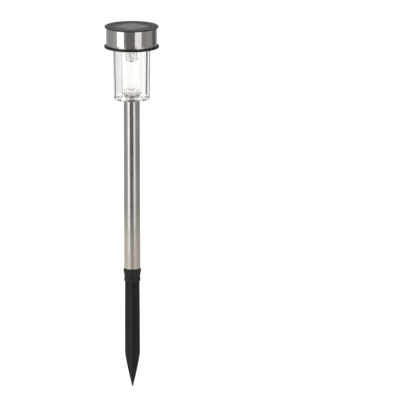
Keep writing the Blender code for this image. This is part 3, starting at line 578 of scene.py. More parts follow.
BLACK = moulded_plastic(
    "black_moulding", (0.006, 0.006, 0.0065), (0.012, 0.012, 0.0125), 0.36, 0.5, 0.35
)
GREY = moulded_plastic("dark_grey_moulding", (0.027,) * 3, (0.038,) * 3, 0.3, 0.4, 0.3)
CELL_BACKING = moulded_plastic(
    "cell_backing_board", (0.006, 0.006, 0.007), (0.01, 0.01, 0.011), 0.5, 0.6, 0.2
)
STEEL = drawn_steel("stainless_sheet")
CLEAR = clear_moulding("clear_sleeve_plastic")
RESIN = clear_moulding("window_resin", (0.95, 0.955, 0.96), 1.5, 0.03, 0.03)
EPOXY = clear_moulding("light_epoxy", (0.985, 0.985, 0.97), 1.52, 0.0, 0.0)
PLATED = plated_metal("plated_metal", (0.72, 0.71, 0.68))
RUBBER = soft_rubber("seal_rubber")


# ---- the pieces


def cross_outline(half_width, half_thickness, scale):
    """Outline of four fins with rounded edges and filleted roots."""
    root = 1.1 * scale
    edge = 0.55 * scale
    corners = []
    for quarter in range(4):
        for x, y, radius in (
            (half_thickness, -half_thickness, root),
            (half_width, -half_thickness, edge),
            (half_width, half_thickness, edge),
        ):
            corners.append((*spun(x, y, SPIKE_TURN + quarter * QUARTER), radius))
    return rounded(corners, True, 4, False)


def make_spike():
    """Cross-shaped blade, ribbed collar and plug, moulded in one."""
    half_width = 7.35 * MM
    top_half_width = 7.1 * MM
    half_thickness = 1.5 * MM
    tip = SPIKE_LOW.z
    tip_half_width = 0.5 * MM
    thinning = 0.65
    bulge = 1.25
    inside_collar_z = 3.0 * MM
    fin_top_z = -3.0 * MM
    sections = []

    def section(width, height):
        scale = (width / half_width) ** thinning
        outline = cross_outline(width, half_thickness * scale, min(1.0, scale))
        sections.append([(p.x, p.y, height) for p in outline])

    section(top_half_width, inside_collar_z)
    section(top_half_width, fin_top_z)
    straight_steps = 10
    for step in range(1, straight_steps + 1):
        along = step / straight_steps
        width = top_half_width + (half_width - top_half_width) * min(1.0, 2.0 * along)
        section(width, fin_top_z + (FIN_STRAIGHT_Z - fin_top_z) * along)
    taper_steps = 26
    for step in range(1, taper_steps + 1):
        along = step / taper_steps
        width = half_width + (tip_half_width - half_width) * along ** bulge
        section(width, FIN_STRAIGHT_Z + (tip - FIN_STRAIGHT_Z) * along)
    blade = stack("blade_guide", sections)

    flange = SPIKE_HIGH.x
    ring = flange - 0.7 * MM
    neck = flange - 0.8 * MM
    groove = neck - 0.4 * MM
    collar_corners = (
        (0.0, 0.0, 0.0),
        (ring, 0.0, 1.0),
        (ring, 4.0 * MM, 0.4),
        (groove, 4.2 * MM, 0.2),
        (groove, 4.7 * MM, 0.2),
        (neck, 4.9 * MM, 0.3),
        (neck, 6.2 * MM, 0.6),
        (flange, 10.4 * MM, 0.6),
        (flange, COLLAR_TOP, 0.45),
        (0.0, COLLAR_TOP, 0.0),
    )
    spike = turned("spike_moulding", collar_corners, 96, longest=1.2 * MM)
    combine(spike, blade, "UNION")

    outer = 7.2 * MM
    root = 6.2 * MM
    ribs = 8
    rib_shape = (
        (-0.25, root, 0.3),
        (-0.18, outer, 0.25),
        (0.18, outer, 0.25),
        (0.25, root, 0.3),
    )
    corners = []
    for rib in range(ribs):
        for offset, reach, radius in rib_shape:
            corners.append((*spun(reach, 0.0, 2.0 * math.pi * (rib + offset) / ribs), radius))
    plug_outline = rounded(corners, True, 3)
    heights = ((COLLAR_TOP - 0.4 * MM, 1.0), (SPIKE_HIGH.z - 2.0 * MM, 1.0), (SPIKE_HIGH.z, 0.8))
    plug = [[(p.x * size, p.y * size, z) for p in plug_outline] for z, size in heights]
    combine(spike, stack("plug_guide", plug), "UNION")
    put(spike, "spike", BLACK, "black_plastic", "ground_spike")


def make_tube():
    """Thin steel tube with rolled ends."""
    outer = TUBE_HIGH.x
    rolled = (0.12, 0.22, 0.22, 0.12)
    corners = ring_profile(outer - SHEET, outer, TUBE_LOW.z, TUBE_HIGH.z, rolled)
    tube = turned("stake_tube", corners, 128, longest=12.0 * MM)
    put(tube, "tube", STEEL, "stainless_steel", "tube")


def make_cup():
    """Clear cup: smooth outside, fluted inside, with a ribbed socket in its floor."""
    bottom = LENS_LOW.z
    neck_top = LENS_HIGH.z
    flange = HOUSING_LOW.z
    floor = bottom + LENS_FLOOR
    socket_top = TUBE_HIGH.z + GAP
    boss = SOCKET_RADIUS + SOCKET_WALL
    boss_top = socket_top + SOCKET_WALL
    wall_top = LENS_TOP_RADIUS - LENS_WALL
    wall_bottom = LENS_BOTTOM_RADIUS - LENS_WALL
    flute_top = flange - 1.0 * MM
    flute_bottom = floor + 0.6 * MM
    fade_height = 1.5 * MM
    corners = (
        (0.0, socket_top, 0.0),
        (SOCKET_RADIUS, socket_top, 0.3),
        (SOCKET_RADIUS, bottom, 0.4),
        (LENS_BOTTOM_RADIUS, bottom, 1.3),
        (LENS_TOP_RADIUS, flange, 0.0),
        (LENS_TOP_RADIUS, neck_top, 0.3),
        (LENS_TOP_RADIUS - NECK_WALL, neck_top, 0.3),
        (LENS_TOP_RADIUS - NECK_WALL, flange + 1.2 * MM, 0.5),
        (wall_top, flange, 0.5),
        (wall_bottom, floor, 1.2),
        (boss, floor, 0.6),
        (boss, boss_top - BOSS_CONE, 0.3),
        (0.0, boss_top, 0.0),
    )

    def flutes(angle, radius, height):
        """Shallow rounded flutes on the inner wall, and deeper ones round the boss."""
        wall = wall_bottom + (wall_top - wall_bottom) * (height - floor) / (flange - floor)
        if abs(radius - wall) < 0.35 * MM and flute_bottom < height < flute_top:
            inside = min(height - flute_bottom, flute_top - height)
            fade = min(1.0, inside / fade_height)
            fade = fade * fade * (3.0 - 2.0 * fade)
            return FLUTE_DEPTH * fade * (0.5 - 0.5 * math.cos(FLUTE_COUNT * angle))
        if abs(radius - boss) < 0.05 * MM and height > floor:
            fade = min(1.0, (height - floor) / fade_height)
            turn = BOSS_FLUTE_COUNT * angle - BOSS_FLUTE_TURN
            return -BOSS_FLUTE_DEPTH * fade * (0.5 - 0.5 * math.cos(turn))
        return 0.0

    steps = 10 * FLUTE_COUNT
    cup = turned("cup_moulding", corners, steps, longest=1.5 * MM, shift=flutes)
    bm = bmesh.new()
    lug_root = LENS_TOP_RADIUS - GUIDE_OVERLAP
    lug_top = neck_top - 0.25 * MM
    lug_low = lug_top - 1.4 * MM
    for middle in LUG_ANGLES:
        start = middle - LUG_HALF_ANGLE
        end = middle + LUG_HALF_ANGLE
        add_sector(bm, lug_root, LUG_RADIUS, lug_low, lug_top, start, end)
    combine(cup, finish("lug_guide", bm), "UNION")
    plastic = cup_plastic("clear_cup_plastic", boss + GAP, socket_top, boss_top)
    put(cup, "cup", plastic, "clear_plastic", "lens")


def make_seal():
    """Flat rubber ring on the cup's rim."""
    corners = ring_profile(16.8 * MM, 18.7 * MM, SEAL_LOW.z, SEAL_HIGH.z, (0.3,) * 4)
    put(turned("seal_ring", corners, 96), "seal", RUBBER, "seal_rubber", "head_seal")


def housing_additions(ledge, floor_top):
    """Bayonet stops, battery saddles, contact ribs and board posts."""
    bm = bmesh.new()
    stop = math.radians(5.0)
    play = math.radians(1.3)
    low = ledge - GUIDE_OVERLAP
    high = FLOOR_LOW + GUIDE_OVERLAP
    inner = LENS_TOP_RADIUS + 0.6 * MM
    outer = CHANNEL_RADIUS + GUIDE_OVERLAP
    for angle in LUG_ANGLES:
        before = angle - LUG_HALF_ANGLE - play - stop - math.radians(1.0)
        past = angle + LUG_HALF_ANGLE + LOCK_ANGLE + play
        for start in (before, past):
            add_sector(bm, inner, outer, low, high, start, start + stop)
    root = floor_top - GUIDE_OVERLAP
    middle_y = 0.5 * (BATTERY_LOW.y + BATTERY_HIGH.y)
    # Battery saddles and contact ribs: start, end, half depth and height
    walls = (
        (-9.0 * MM, -7.0 * MM, 4.4 * MM, 3.0 * MM),
        (7.0 * MM, 9.0 * MM, 4.4 * MM, 3.0 * MM),
        (BATTERY_HIGH.x + 1.2 * MM, BATTERY_HIGH.x + 2.2 * MM, 2.0 * MM, 5.0 * MM),
        (BATTERY_LOW.x - 4.0 * MM, BATTERY_LOW.x - 3.0 * MM, 2.0 * MM, 5.0 * MM),
    )
    for start, end, half_depth, height in walls:
        near = (start, middle_y - half_depth, root)
        far = (end, middle_y + half_depth, floor_top + height)
        add_block(bm, near, far)
    inset = 1.8 * MM
    post = rod(1.4 * MM, root, BOARD_LOW.z - GAP)
    for x in (BOARD_LOW.x + inset, BOARD_HIGH.x - inset):
        for y in (BOARD_LOW.y + inset, BOARD_HIGH.y - inset):
            add_turned(bm, post, 24, centre=(x, y))
    return finish("housing_addition_guide", bm)


def housing_cuts(low, ledge, floor_top):
    """Bayonet slots, screw holes and the switch slot."""
    bm = bmesh.new()
    slot_low = low - GUIDE_OVERLAP
    slot_high = ledge + 0.1 * MM
    for angle in LUG_ANGLES:
        start = angle - SLOT_HALF_ANGLE
        end = angle + SLOT_HALF_ANGLE
        add_sector(bm, LENS_TOP_RADIUS, SLOT_RADIUS, slot_low, slot_high, start, end)
    bottom = FLOOR_LOW - GUIDE_OVERLAP
    top = floor_top + GUIDE_OVERLAP
    for node in SCREW_NODES:
        add_turned(bm, rod(SCREW_BORE_RADIUS, bottom, top), 32, centre=middle_of(node))
    travel = 2.0 * MM
    near = (KNOB_LOW.x - GAP, KNOB_LOW.y - GAP, bottom)
    far = (KNOB_HIGH.x + travel + GAP, KNOB_HIGH.y + GAP, top)
    add_block(bm, near, far)
    return finish("housing_cut_guide", bm)


def battery_bed():
    """Cylinder a little larger than the battery, which hollows its saddles."""
    radius = 0.5 * (BATTERY_HIGH.y - BATTERY_LOW.y) + GAP
    half = 0.5 * (BATTERY_HIGH.x - BATTERY_LOW.x) - 3.0 * MM
    bm = bmesh.new()
    add_turned(bm, rod(radius, -half, half), 64)
    middle = 0.5 * (BATTERY_LOW + BATTERY_HIGH)
    lay_down = Matrix.Translation(middle) @ Matrix.Rotation(QUARTER, 4, "Y")
    bmesh.ops.transform(bm, matrix=lay_down, verts=bm.verts)
    return finish("battery_bed_guide", bm)


def make_housing():
    """Flange, mouth, bayonet channel, floor, spigot and outer wall in one moulding."""
    low = HOUSING_LOW.z
    high = HOUSING_HIGH.z
    mouth = LENS_TOP_RADIUS + 0.5 * MM
    ledge = low + 2.3 * MM
    flange_top = low + 2.0 * MM
    floor_top = FLOOR_LOW + 1.5 * MM
    wall = INSIDE_BAND_RADIUS
    wall_inner = wall - 1.4 * MM
    spigot = SLEEVE_HIGH.x - 1.3 * MM
    spigot_hole = 3.5 * MM
    spigot_low = 236.5 * MM
    corners = (
        (mouth, low, 0.3),
        (HOUSING_HIGH.x, low, 0.6),
        (HOUSING_HIGH.x, flange_top, 0.6),
        (wall, flange_top, 0.1),
        (wall, high, 0.3),
        (wall_inner, high, 0.3),
        (wall_inner, floor_top, 0.4),
        (spigot_hole, floor_top, 0.2),
        (spigot_hole, spigot_low, 0.2),
        (spigot, spigot_low, 0.3),
        (spigot, FLOOR_LOW, 0.3),
        (CHANNEL_RADIUS, FLOOR_LOW, 0.3),
        (CHANNEL_RADIUS, ledge, 0.2),
        (mouth, ledge, 0.2),
    )
    housing = turned("housing_moulding", corners, 192, longest=6.0 * MM)
    combine(housing, housing_additions(ledge, floor_top), "UNION")
    combine(housing, housing_cuts(low, ledge, floor_top), "DIFFERENCE")
    combine(housing, battery_bed(), "DIFFERENCE")
    put(housing, "head", BLACK, "black_plastic", "base_housing")


def make_band():
    """Steel band with its two rims turned in a little."""
    outer = BAND_HIGH.x
    rims = (0.12, 0.3, 0.3, 0.12)
    corners = ring_profile(outer - SHEET, outer, BAND_LOW.z, BAND_HIGH.z, rims)
    band = turned("band_sleeve", corners, 192, longest=4.0 * MM)
    put(band, "head", STEEL, "stainless_steel", "cap_band")


def make_cap_plate():
    """Cap plate with a soft rim, a stepped recess on top and screw bosses below."""
    top = DISC_HIGH.z
    rim_bottom = top - 1.3 * MM
    recess = WINDOW_HIGH.x + GAP
    floor = CELL_LOW.z - GAP
    bottom = floor - 1.2 * MM
    lip = 0.8 * MM
    step_down = 0.25 * MM
    corners = (
        (0.0, bottom, 0.0),
        (INSIDE_BAND_RADIUS, bottom, 0.2),
        (INSIDE_BAND_RADIUS, rim_bottom, 0.15),
        (DISC_HIGH.x, rim_bottom, 0.3),
        (DISC_HIGH.x, top, 0.55),
        (recess + lip + 0.2 * MM, top, 0.2),
        (recess + lip, top - step_down, 0.15),
        (recess, top - step_down, 0.15),
        (recess, floor, 0.1),
        (0.0, floor, 0.0),
    )
    plate = turned("cap_plate", corners, 192, longest=4.0 * MM)
    boss_low = DISC_LOW.z
    bore_top = SCREW_HIGH.z + 1.0 * MM
    boss_radius = 2.2 * MM
    boss = [
        (0.0, bore_top),
        (SCREW_BORE_RADIUS, bore_top),
        (SCREW_BORE_RADIUS, boss_low),
        (boss_radius, boss_low),
        (boss_radius, bottom + GUIDE_OVERLAP),
        (0.0, bottom + GUIDE_OVERLAP),
    ]
    bm = bmesh.new()
    for node in SCREW_NODES:
        add_turned(bm, boss, 32, centre=middle_of(node))
    combine(plate, finish("boss_guide", bm), "UNION")
    bm = bmesh.new()
    wire_hole = rod(0.91 * MM, bottom - GAP, floor + GAP)
    for x in (-3.0 * MM, 3.0 * MM):
        add_turned(bm, wire_hole, 24, centre=(x, 3.0 * MM))
    combine(plate, finish("wire_hole_guide", bm), "DIFFERENCE")
    put(plate, "head", GREY, "grey_plastic", "top_disc")


def make_window():
    """Resin poured over the cell, with a slightly sunk middle and a raised edge."""
    radius = WINDOW_HIGH.x
    low = CELL_LOW.z - 0.25 * MM
    corners = (
        (0.0, low, 0.0),
        (radius, low, 0.05),
        (radius, WINDOW_HIGH.z, 0.15),
        (radius - 1.2 * MM, WINDOW_HIGH.z - 0.06 * MM, 0.6),
        (0.0, WINDOW_HIGH.z - 0.1 * MM, 0.0),
    )
    pane = turned("window_pane", corners, 128, longest=3.0 * MM)
    put(pane, "head", RESIN, "window_resin", "panel_window")


def make_cell():
    """Four silicon strips on a thin backing, over the dark bed they are potted on."""
    side = 25.0 * MM
    half = 0.5 * side
    turn = Matrix.Rotation(math.radians(45.0), 4, "Z")
    low = CELL_LOW.z
    high = CELL_HIGH.z
    backing_top = low + 0.2 * MM
    square = ((half, -half), (half, half), (-half, half), (-half, -half))
    outline = rounded([(x, y, 0.5) for x, y in square])
    bm = bmesh.new()
    add_stack(bm, [[(p.x, p.y, z) for p in outline] for z in (low, backing_top - 0.02 * MM)])
    bmesh.ops.transform(bm, matrix=turn, verts=bm.verts)
    put(finish("cell_backing", bm), "head", CELL_BACKING, "cell_silicon", "solar_cell")

    bed_radius = WINDOW_HIGH.x - 0.2 * MM
    bed_low = low - 0.2 * MM
    bed_top = low - 0.05 * MM
    bed_corners = (
        (0.0, bed_low, 0.0),
        (bed_radius, bed_low, 0.03),
        (bed_radius, bed_top, 0.03),
        (0.0, bed_top, 0.0),
    )
    bed = turned("cell_bed", bed_corners, 96, longest=4.0 * MM)
    put(bed, "head", CELL_BACKING, "grey_plastic")

    silicon = cell_silicon("silicon")
    strips = 4
    strip_gap = 0.3 * MM
    reach = half - 0.6 * MM
    strip = (2.0 * reach - (strips - 1) * strip_gap) / strips
    for index in range(strips):
        start = -reach + index * (strip + strip_gap)
        bm = bmesh.new()
        add_block(bm, (-reach, start, backing_top), (reach, start + strip, high))
        bmesh.ops.transform(bm, matrix=turn, verts=bm.verts)
        put(finish(f"cell_strip_{index + 1}", bm), "head", silicon, "cell_silicon")


def make_light():
    """Domed light with a rim round its base."""
    top = LED_HIGH.z
    radius = 2.5 * MM
    rim_low = top - 1.0 * MM
    dome_steps = 16
    outline = []
    for step in range(dome_steps + 1):
        angle = QUARTER * step / dome_steps
        height = LED_LOW.z + radius * (1.0 - math.cos(angle))
        outline.append((radius * math.sin(angle), height))
    outline += [(radius, rim_low), (LED_HIGH.x, rim_low), (LED_HIGH.x, top), (0.0, top)]
    bm = bmesh.new()
    add_turned(bm, outline, 64)
    put(finish("light_dome", bm), "head", EPOXY, "led_epoxy", "led")


def make_leads():
    """Two flat leads in the epoxy: one ends in a reflector cup, the other in a post."""
    half = 0.25 * MM
    leg_x = 1.27 * MM
    low = LED_LOW.z + 4.0 * MM
    head = 1.5 * MM
    top = CATHODE_HIGH.z
    cup_radius = 0.62 * MM
    cathode = (
        (-leg_x - half, low + 0.2 * MM),
        (0.4 * MM, low + 0.2 * MM),
        (0.4 * MM, low + 0.8 * MM),
        (half - leg_x, low + head),
        (half - leg_x, top),
        (-leg_x - half, top),
    )
    anode = (
        (leg_x + half, top),
        (leg_x - half, top),
        (leg_x - half, low + head),
        (leg_x - 2.0 * half, low + 0.5 * MM),
        (leg_x - 2.0 * half, low + 0.2 * MM),
        (leg_x + half, low + 0.2 * MM),
    )
    leads = []
    for name, outline in (("cathode_lead", cathode), ("anode_lead", anode)):
        leads.append(stack(name, [[(x, y, z) for x, z in outline] for y in (-half, half)]))
    reflector = turned(
        "reflector_guide",
        (
            (0.0, low + 0.45 * MM, 0.0),
            (0.3 * MM, low + 0.45 * MM, 0.03),
            (cup_radius - 0.1 * MM, low, 0.02),
            (cup_radius, low, 0.02),
            (cup_radius, low + 0.9 * MM, 0.05),
            (0.0, low + 0.9 * MM, 0.0),
        ),
        32,
    )
    combine(leads[0], reflector, "UNION")
    for lead, node in zip(leads, ("led_leg_cathode", "led_leg_anode")):
        soften(lead, 0.04 * MM)
        put(lead, "head", PLATED, "plated_steel", node)
    phosphor = turned(
        "phosphor",
        (
            (0.0, low + 0.44 * MM, 0.0),
            (0.28 * MM, low + 0.44 * MM, 0.02),
            (0.42 * MM, low + 0.1 * MM, 0.05),
            (0.0, low + 0.03 * MM, 0.0),
        ),
        24,
    )
    put(phosphor, "head", lamp_phosphor("phosphor"), "led_epoxy")
    steps = 10
    start_z = low + 0.15 * MM
    path = []
    for step in range(steps + 1):
        along = step / steps
        bow = 0.5 * MM * math.sin(math.pi * along)
        path.append(((leg_x - half) * along, 0.0, start_z + 0.1 * MM * along - bow))
    bm = bmesh.new()
    add_wire(bm, path, 0.03 * MM, 8)
    put(finish("bond_wire", bm), "head", PLATED, "plated_steel")


def make_sleeve():
    """Clear sleeve round the light, with a rounded lower lip."""
    outer = SLEEVE_HIGH.x
    lips = (0.3, 0.3, 0.2, 0.2)
    corners = ring_profile(outer - 1.0 * MM, outer, SLEEVE_LOW.z, SLEEVE_HIGH.z, lips)
    sleeve = turned("light_sleeve", corners, 96, longest=3.0 * MM)
    put(sleeve, "head", CLEAR, "clear_plastic", "led_sleeve")


def make_knob():
    """Slide switch's knob, with three finger ridges on its lower end."""
    low, high = KNOB_LOW, KNOB_HIGH
    ridge_height = 0.35 * MM
    ridge_half = 0.16 * MM
    bm = bmesh.new()
    add_block(bm, (low.x, low.y, low.z + ridge_height), high)
    knob = finish("slide_knob", bm)
    bm = bmesh.new()
    middle = 0.5 * (low.x + high.x)
    for index in (-1, 0, 1):
        x = middle + index * 0.5 * MM
        near = (x - ridge_half, low.y + 0.1 * MM, low.z)
        far = (x + ridge_half, high.y - 0.1 * MM, low.z + ridge_height + 0.2 * MM)
        add_block(bm, near, far)
    combine(knob, finish("ridge_guide", bm), "UNION")
    soften(knob, 0.06 * MM)
    put(knob, "switch", BLACK, "black_plastic", "switch_knob")


def make_screws():
    """Pan-head screws, each stopped at its own angle, with a cross recess."""
    head_radius = 2.0 * MM
    shank = 1.05 * MM
    arm_half_width = 0.24 * MM
    arm_at_mouth = 1.15 * MM
    arm_at_bottom = 0.52 * MM
    for index, node in enumerate(SCREW_NODES):
        low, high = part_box(node)
        centre = middle_of(node)
        head_top = low.z + 1.6 * MM
        corners = (
            (0.0, low.z, 0.0),
            (1.35 * MM, low.z, 0.5),
            (head_radius, low.z + 0.8 * MM, 0.4),
            (head_radius, head_top, 0.12),
            (shank, head_top, 0.1),
            (shank, high.z - 1.2 * MM, 0.3),
            (0.0, high.z, 0.0),
        )
        screw = turned(f"screw_{index + 1}", corners, 48, centre=centre)
        turn = math.radians(20.0 + 50.0 * index)
        sections = []
        for rise, reach in ((-0.1 * MM, arm_at_mouth), (0.85 * MM, arm_at_bottom)):
            section = []
            for quarter in range(4):
                for x, y in (
                    (reach, -arm_half_width),
                    (reach, arm_half_width),
                    (arm_half_width, arm_half_width),
                ):
                    across, along = spun(x, y, turn + quarter * QUARTER)
                    section.append((centre[0] + across, centre[1] + along, low.z + rise))
            sections.append(section)
        combine(screw, stack("recess_guide", sections), "DIFFERENCE")
        soften(screw, 0.04 * MM)
        put(screw, "head", PLATED, "plated_steel", node)


def finish_hidden_nodes():
    """Materials and small round edges for the pieces that stay as the frame has them."""
    board = laminate("board_laminate")
    chip = jacket("chip_compound", (0.012, 0.012, 0.013), (0.028, 0.028, 0.03), 0.45)
    core = jacket("ferrite_core", (0.03, 0.028, 0.028), (0.07, 0.065, 0.062), 0.5)
    cell = jacket("battery_jacket", (0.02, 0.2, 0.08), (0.05, 0.3, 0.13), 0.25)
    red = jacket("red_wire_jacket", (0.42, 0.015, 0.01), (0.6, 0.035, 0.02))
    black = jacket("black_wire_jacket", (0.012,) * 3, (0.03,) * 3)
    finishes = (
        ("circuit_board", board, 0.1),
        ("driver_chip", chip, 0.06),
        ("switch_body", chip, 0.1),
        ("inductor", core, 0.1),
        ("battery_cell", cell, 0.0),
        ("battery_plus_contact", PLATED, 0.08),
        ("battery_minus_contact", PLATED, 0.08),
        ("battery_minus_spring", PLATED, 0.0),
        ("panel_wire_red", red, 0.0),
        ("battery_wire_red", red, 0.0),
        ("panel_wire_black", black, 0.0),
        ("battery_wire_black", black, 0.0),
    )
    for node, finish_material, edge in finishes:
        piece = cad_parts[node]
        piece.data.materials.clear()
        piece.data.materials.append(finish_material)
        if edge:
            soften(piece, edge * MM)


# ---- stage


def make_floor():
    """Pale floor a little below the spike's tip."""
    bm = bmesh.new()
    bmesh.ops.create_circle(bm, cap_ends=True, segments=96, radius=9.0)
    floor = finish("floor", bm)
    floor.location.z = FLOOR_Z
    nodes = Nodes("pale_floor")
    cloud = nodes.noise(nodes.place(), 3.0, 2.0)
    nodes.colour(nodes.tones(cloud, (0.77,) * 3, (0.79,) * 3))
    nodes.set(Roughness=0.9)
    floor.data.materials.append(nodes.material)
    floor.visible_glossy = False


def make_world():
    """Plain white surroundings."""
    world = bpy.data.worlds.new("studio")
    bpy.context.scene.world = world
    world.use_nodes = True
    background = world.node_tree.nodes["Background"]
    background.inputs["Color"].default_value = (1.0,) * 4
    background.inputs["Strength"].default_value = 1.0


def glow(name, brightness, warmth):
    """Plain emitting material of a studio card."""
    made = bpy.data.materials.new(name)
    made.use_nodes = True
    tree = made.node_tree
    tree.nodes.clear()
    emission = tree.nodes.new("ShaderNodeEmission")
    emission.inputs["Color"].default_value = (1.0, 1.0 - 0.5 * warmth, 1.0 - warmth, 1.0)
    emission.inputs["Strength"].default_value = brightness
    output = tree.nodes.new("ShaderNodeOutputMaterial")
    tree.links.new(emission.outputs["Emission"], output.inputs["Surface"])
    return made


def make_card(name, start, end, inner, outer, brightness, warmth=0.0, seen="mirror"):
    """Curved card round the light, between two (distance, height) edges.

    Angles are in degrees from the front, + to the right. A "mirror" card is seen only
    in reflections, a "clear" one only through clear plastic, and a "both" one in both.
    """
    degrees_per_step = 3.0
    steps = max(2, round(abs(end - start) / degrees_per_step))
    bm = bmesh.new()
    rows = []
    for distance, height in (inner, outer):
        row = []
        for step in range(steps + 1):
            angle = math.radians(start + (end - start) * step / steps)
            across = distance * math.sin(angle)
            back = -distance * math.cos(angle)
            row.append(bm.verts.new((across, back, height)))
        rows.append(row)
    for step in range(steps):
        bm.faces.new((rows[0][step], rows[0][step + 1], rows[1][step + 1], rows[1][step]))
    card = finish(name, bm)
    card.data.materials.append(glow(name, brightness, warmth))
    card.visible_camera = False
    card.visible_diffuse = False
    card.visible_shadow = False
    card.visible_volume_scatter = False
    card.visible_glossy = seen != "clear"
    card.visible_transmission = seen != "mirror"


def closer(angle, distance):
    """Angle at which a ray, mirrored by the tube towards a far angle, passes this distance."""
    half = math.radians(angle / 2.0)
    return angle - math.degrees(math.asin(TUBE_HIGH.x / distance * math.sin(half)))


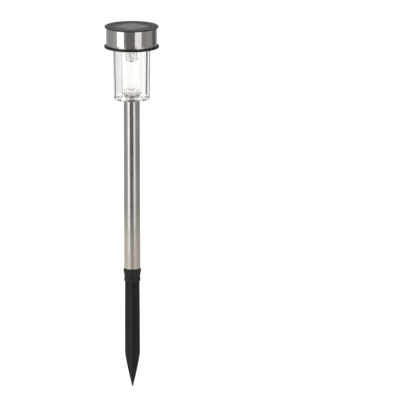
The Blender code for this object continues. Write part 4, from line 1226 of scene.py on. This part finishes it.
def make_cards():
    """Everything of the studio that the steel mirrors or the clear plastic shows.

    A row is a card's name, its two angles, its brightness and its warmth. The upper
    and lower cards are soft boxes and flags that the steel mirrors, and the papers lie
    on the floor. The collar cards, close round the socket, repeat the lower ones for
    the clear boss. The back card closes the ring behind the light, the fill cards
    light the boss from high at the sides, and the wings edge the cup.
    """
    upper = (
        ("far_left", -165, -138, 0.48, 0.03),
        ("left_grey", -138, -92, 0.38, 0.03),
        ("left_mid", -92, -82, 0.43, 0.02),
        ("left_pale", -82, -68, 0.50, 0.02),
        ("left_bright", -68, -34.5, 1.75, 0.0),
        ("front_edge", -34.5, -25, 0.29, 0.02),
        ("front_dark", -25, 13, 0.19, 0.02),
        ("front_mid", 13, 15, 0.30, 0.02),
        ("right_bright", 15, 42, 1.22, 0.03),
        ("right_fade", 42, 46, 0.90, 0.03),
        ("right_grey", 46, 62, 0.30, 0.05),
        ("right_mid", 62, 104, 0.36, 0.05),
        ("right_edge", 104, 108, 0.25, 0.04),
        ("right_dark", 108, 136, 0.13, 0.03),
        ("far_right", 136, 165, 0.46, 0.03),
    )
    lower = (
        ("far_left", -165, -134, 0.55, 0.03),
        ("left_grey", -134, -96, 0.38, 0.03),
        ("left_mid", -96, -74, 0.41, 0.03),
        ("left_pale", -74, -61, 0.50, 0.03),
        ("left_bright", -58, -34, 1.45, 0.03),
        ("front_edge", -33, -27, 0.38, 0.06),
        ("front_dark", -25, 7, 0.14, 0.16),
        ("front_mid", 7, 14, 0.19, 0.10),
        ("right_edge", 14, 23, 0.28, 0.06),
        ("right_bright", 24, 43, 1.12, 0.05),
        ("right_fade", 43, 57, 0.70, 0.07),
        ("right_mid", 57, 94, 0.35, 0.05),
        ("right_grey", 94, 128, 0.29, 0.05),
        ("far_right", 128, 165, 0.55, 0.04),
    )
    floor = FLOOR_Z + 0.002
    split = 0.040
    top = 1.2
    collar_distance = 0.021
    collar_reach = 112.0
    collar_widest = 136.0
    collar_drop = 4.5 * MM
    collar_base = 0.18
    collar_share = 0.45
    collar_low = (collar_distance, LENS_LOW.z - collar_drop)
    collar_high = (collar_distance, TUBE_HIGH.z - collar_drop)
    for tier, rows, low, high in (("upper", upper, split, top), ("lower", lower, floor, split)):
        low_edge = (CARD_DISTANCE, low)
        high_edge = (CARD_DISTANCE, high)
        for name, start, end, brightness, warmth in rows:
            make_card(f"card_{tier}_{name}", start, end, low_edge, high_edge, brightness, warmth)
            if tier == "upper" or max(abs(start), abs(end)) >= collar_widest:
                continue
            within = (max(-collar_reach, min(collar_reach, angle)) for angle in (start, end))
            near = [closer(angle, collar_distance) for angle in within]
            dimmed = collar_base + collar_share * brightness
            make_card(f"collar_{name}", *near, collar_low, collar_high, dimmed, warmth, "clear")

    middle = (0.01, FLOOR_Z + 0.001)
    edge = (CARD_DISTANCE, FLOOR_Z + 0.001)
    papers = (
        ("left_side", -180, -75, 0.72, 0.08),
        ("left_front", -75, -28, 0.92, 0.10),
        ("front_left", -28, -12, 0.68, 0.13),
        ("front", -12, 15, 0.47, 0.15),
        ("front_right", 15, 30, 0.58, 0.14),
        ("right_front", 30, 60, 0.71, 0.12),
        ("right_middle", 60, 78, 0.62, 0.12),
        ("right_side", 78, 180, 0.50, 0.12),
    )
    for name, start, end, brightness, warmth in papers:
        make_card(f"paper_{name}", start, end, middle, edge, brightness, warmth)

    back_low = (0.80, 0.25)
    back_high = (0.80, 1.3)
    make_card("card_back", 140.0, 220.0, back_low, back_high, 0.29, 0.0, "both")

    fill_low = (0.76, 0.62)
    fill_high = (0.76, 1.35)
    fill_brightness = 8.0
    for side, start, end in (("left", -150.0, -40.0), ("right", 40.0, 150.0)):
        make_card(f"fill_{side}", start, end, fill_low, fill_high, fill_brightness, 0.03, "clear")

    wing_low = (0.70, 0.015)
    wing_high = (0.70, 0.24)
    wings = (
        ("right_soft", 132, 156, 1.0),
        ("right_dark", 157, 168.6, 0.0),
        ("back", 169, 184.4, 1.02),
        ("left_line", -175.4, -174.2, 0.6),
        ("left_soft", -174, -158, 0.85),
        ("left_dark", -149, -132, 0.11),
        ("left_back", -119, -106, 0.10),
        ("left_front", -74, -61, 0.10),
        ("right_front", 61, 74, 0.10),
        ("right_back", 106, 119, 0.10),
    )
    for name, start, end, brightness in wings:
        make_card(f"wing_{name}", start, end, wing_low, wing_high, brightness, 0.02, "clear")


def make_lights():
    """One broad soft light overhead."""
    light = bpy.data.lights.new("overhead", "AREA")
    light.shape = "DISK"
    light.size = 4.0
    light.energy = 105.0
    lamp = bpy.data.objects.new("overhead", light)
    lamp.location = (0.0, -0.3, 3.6)
    bpy.context.scene.collection.objects.link(lamp)
    lamp.visible_camera = False
    lamp.visible_glossy = False


def make_camera():
    """Long lens a little above the light, which stands left of the middle."""
    data = bpy.data.cameras.new("camera")
    data.lens = SENSOR_WIDTH * CAMERA_DISTANCE / FRAME_WIDTH
    data.sensor_width = SENSOR_WIDTH
    data.shift_x = SIDE_SHIFT
    data.clip_start = 0.1
    data.clip_end = 2.0 * CAMERA_DISTANCE
    camera = bpy.data.objects.new("camera", data)
    bpy.context.scene.collection.objects.link(camera)
    back = Vector((0.0, -math.cos(CAMERA_ELEVATION), math.sin(CAMERA_ELEVATION)))
    camera.location = Vector((0.0, 0.0, AIM_HEIGHT)) + back * CAMERA_DISTANCE
    camera.rotation_mode = "QUATERNION"
    level = (-back).to_track_quat("-Z", "Y")
    camera.rotation_quaternion = level @ Quaternion((0.0, 0.0, 1.0), -CAMERA_ROLL)
    bpy.context.scene.camera = camera


def main():
    """Make every piece, then the stage."""
    make_spike()
    make_tube()
    make_cup()
    make_seal()
    make_housing()
    make_band()
    make_cap_plate()
    make_window()
    make_cell()
    make_light()
    make_leads()
    make_sleeve()
    make_knob()
    make_screws()
    finish_hidden_nodes()
    make_floor()
    make_world()
    make_cards()
    make_lights()
    make_camera()
    bpy.context.scene.view_settings.view_transform = "Standard"


main()
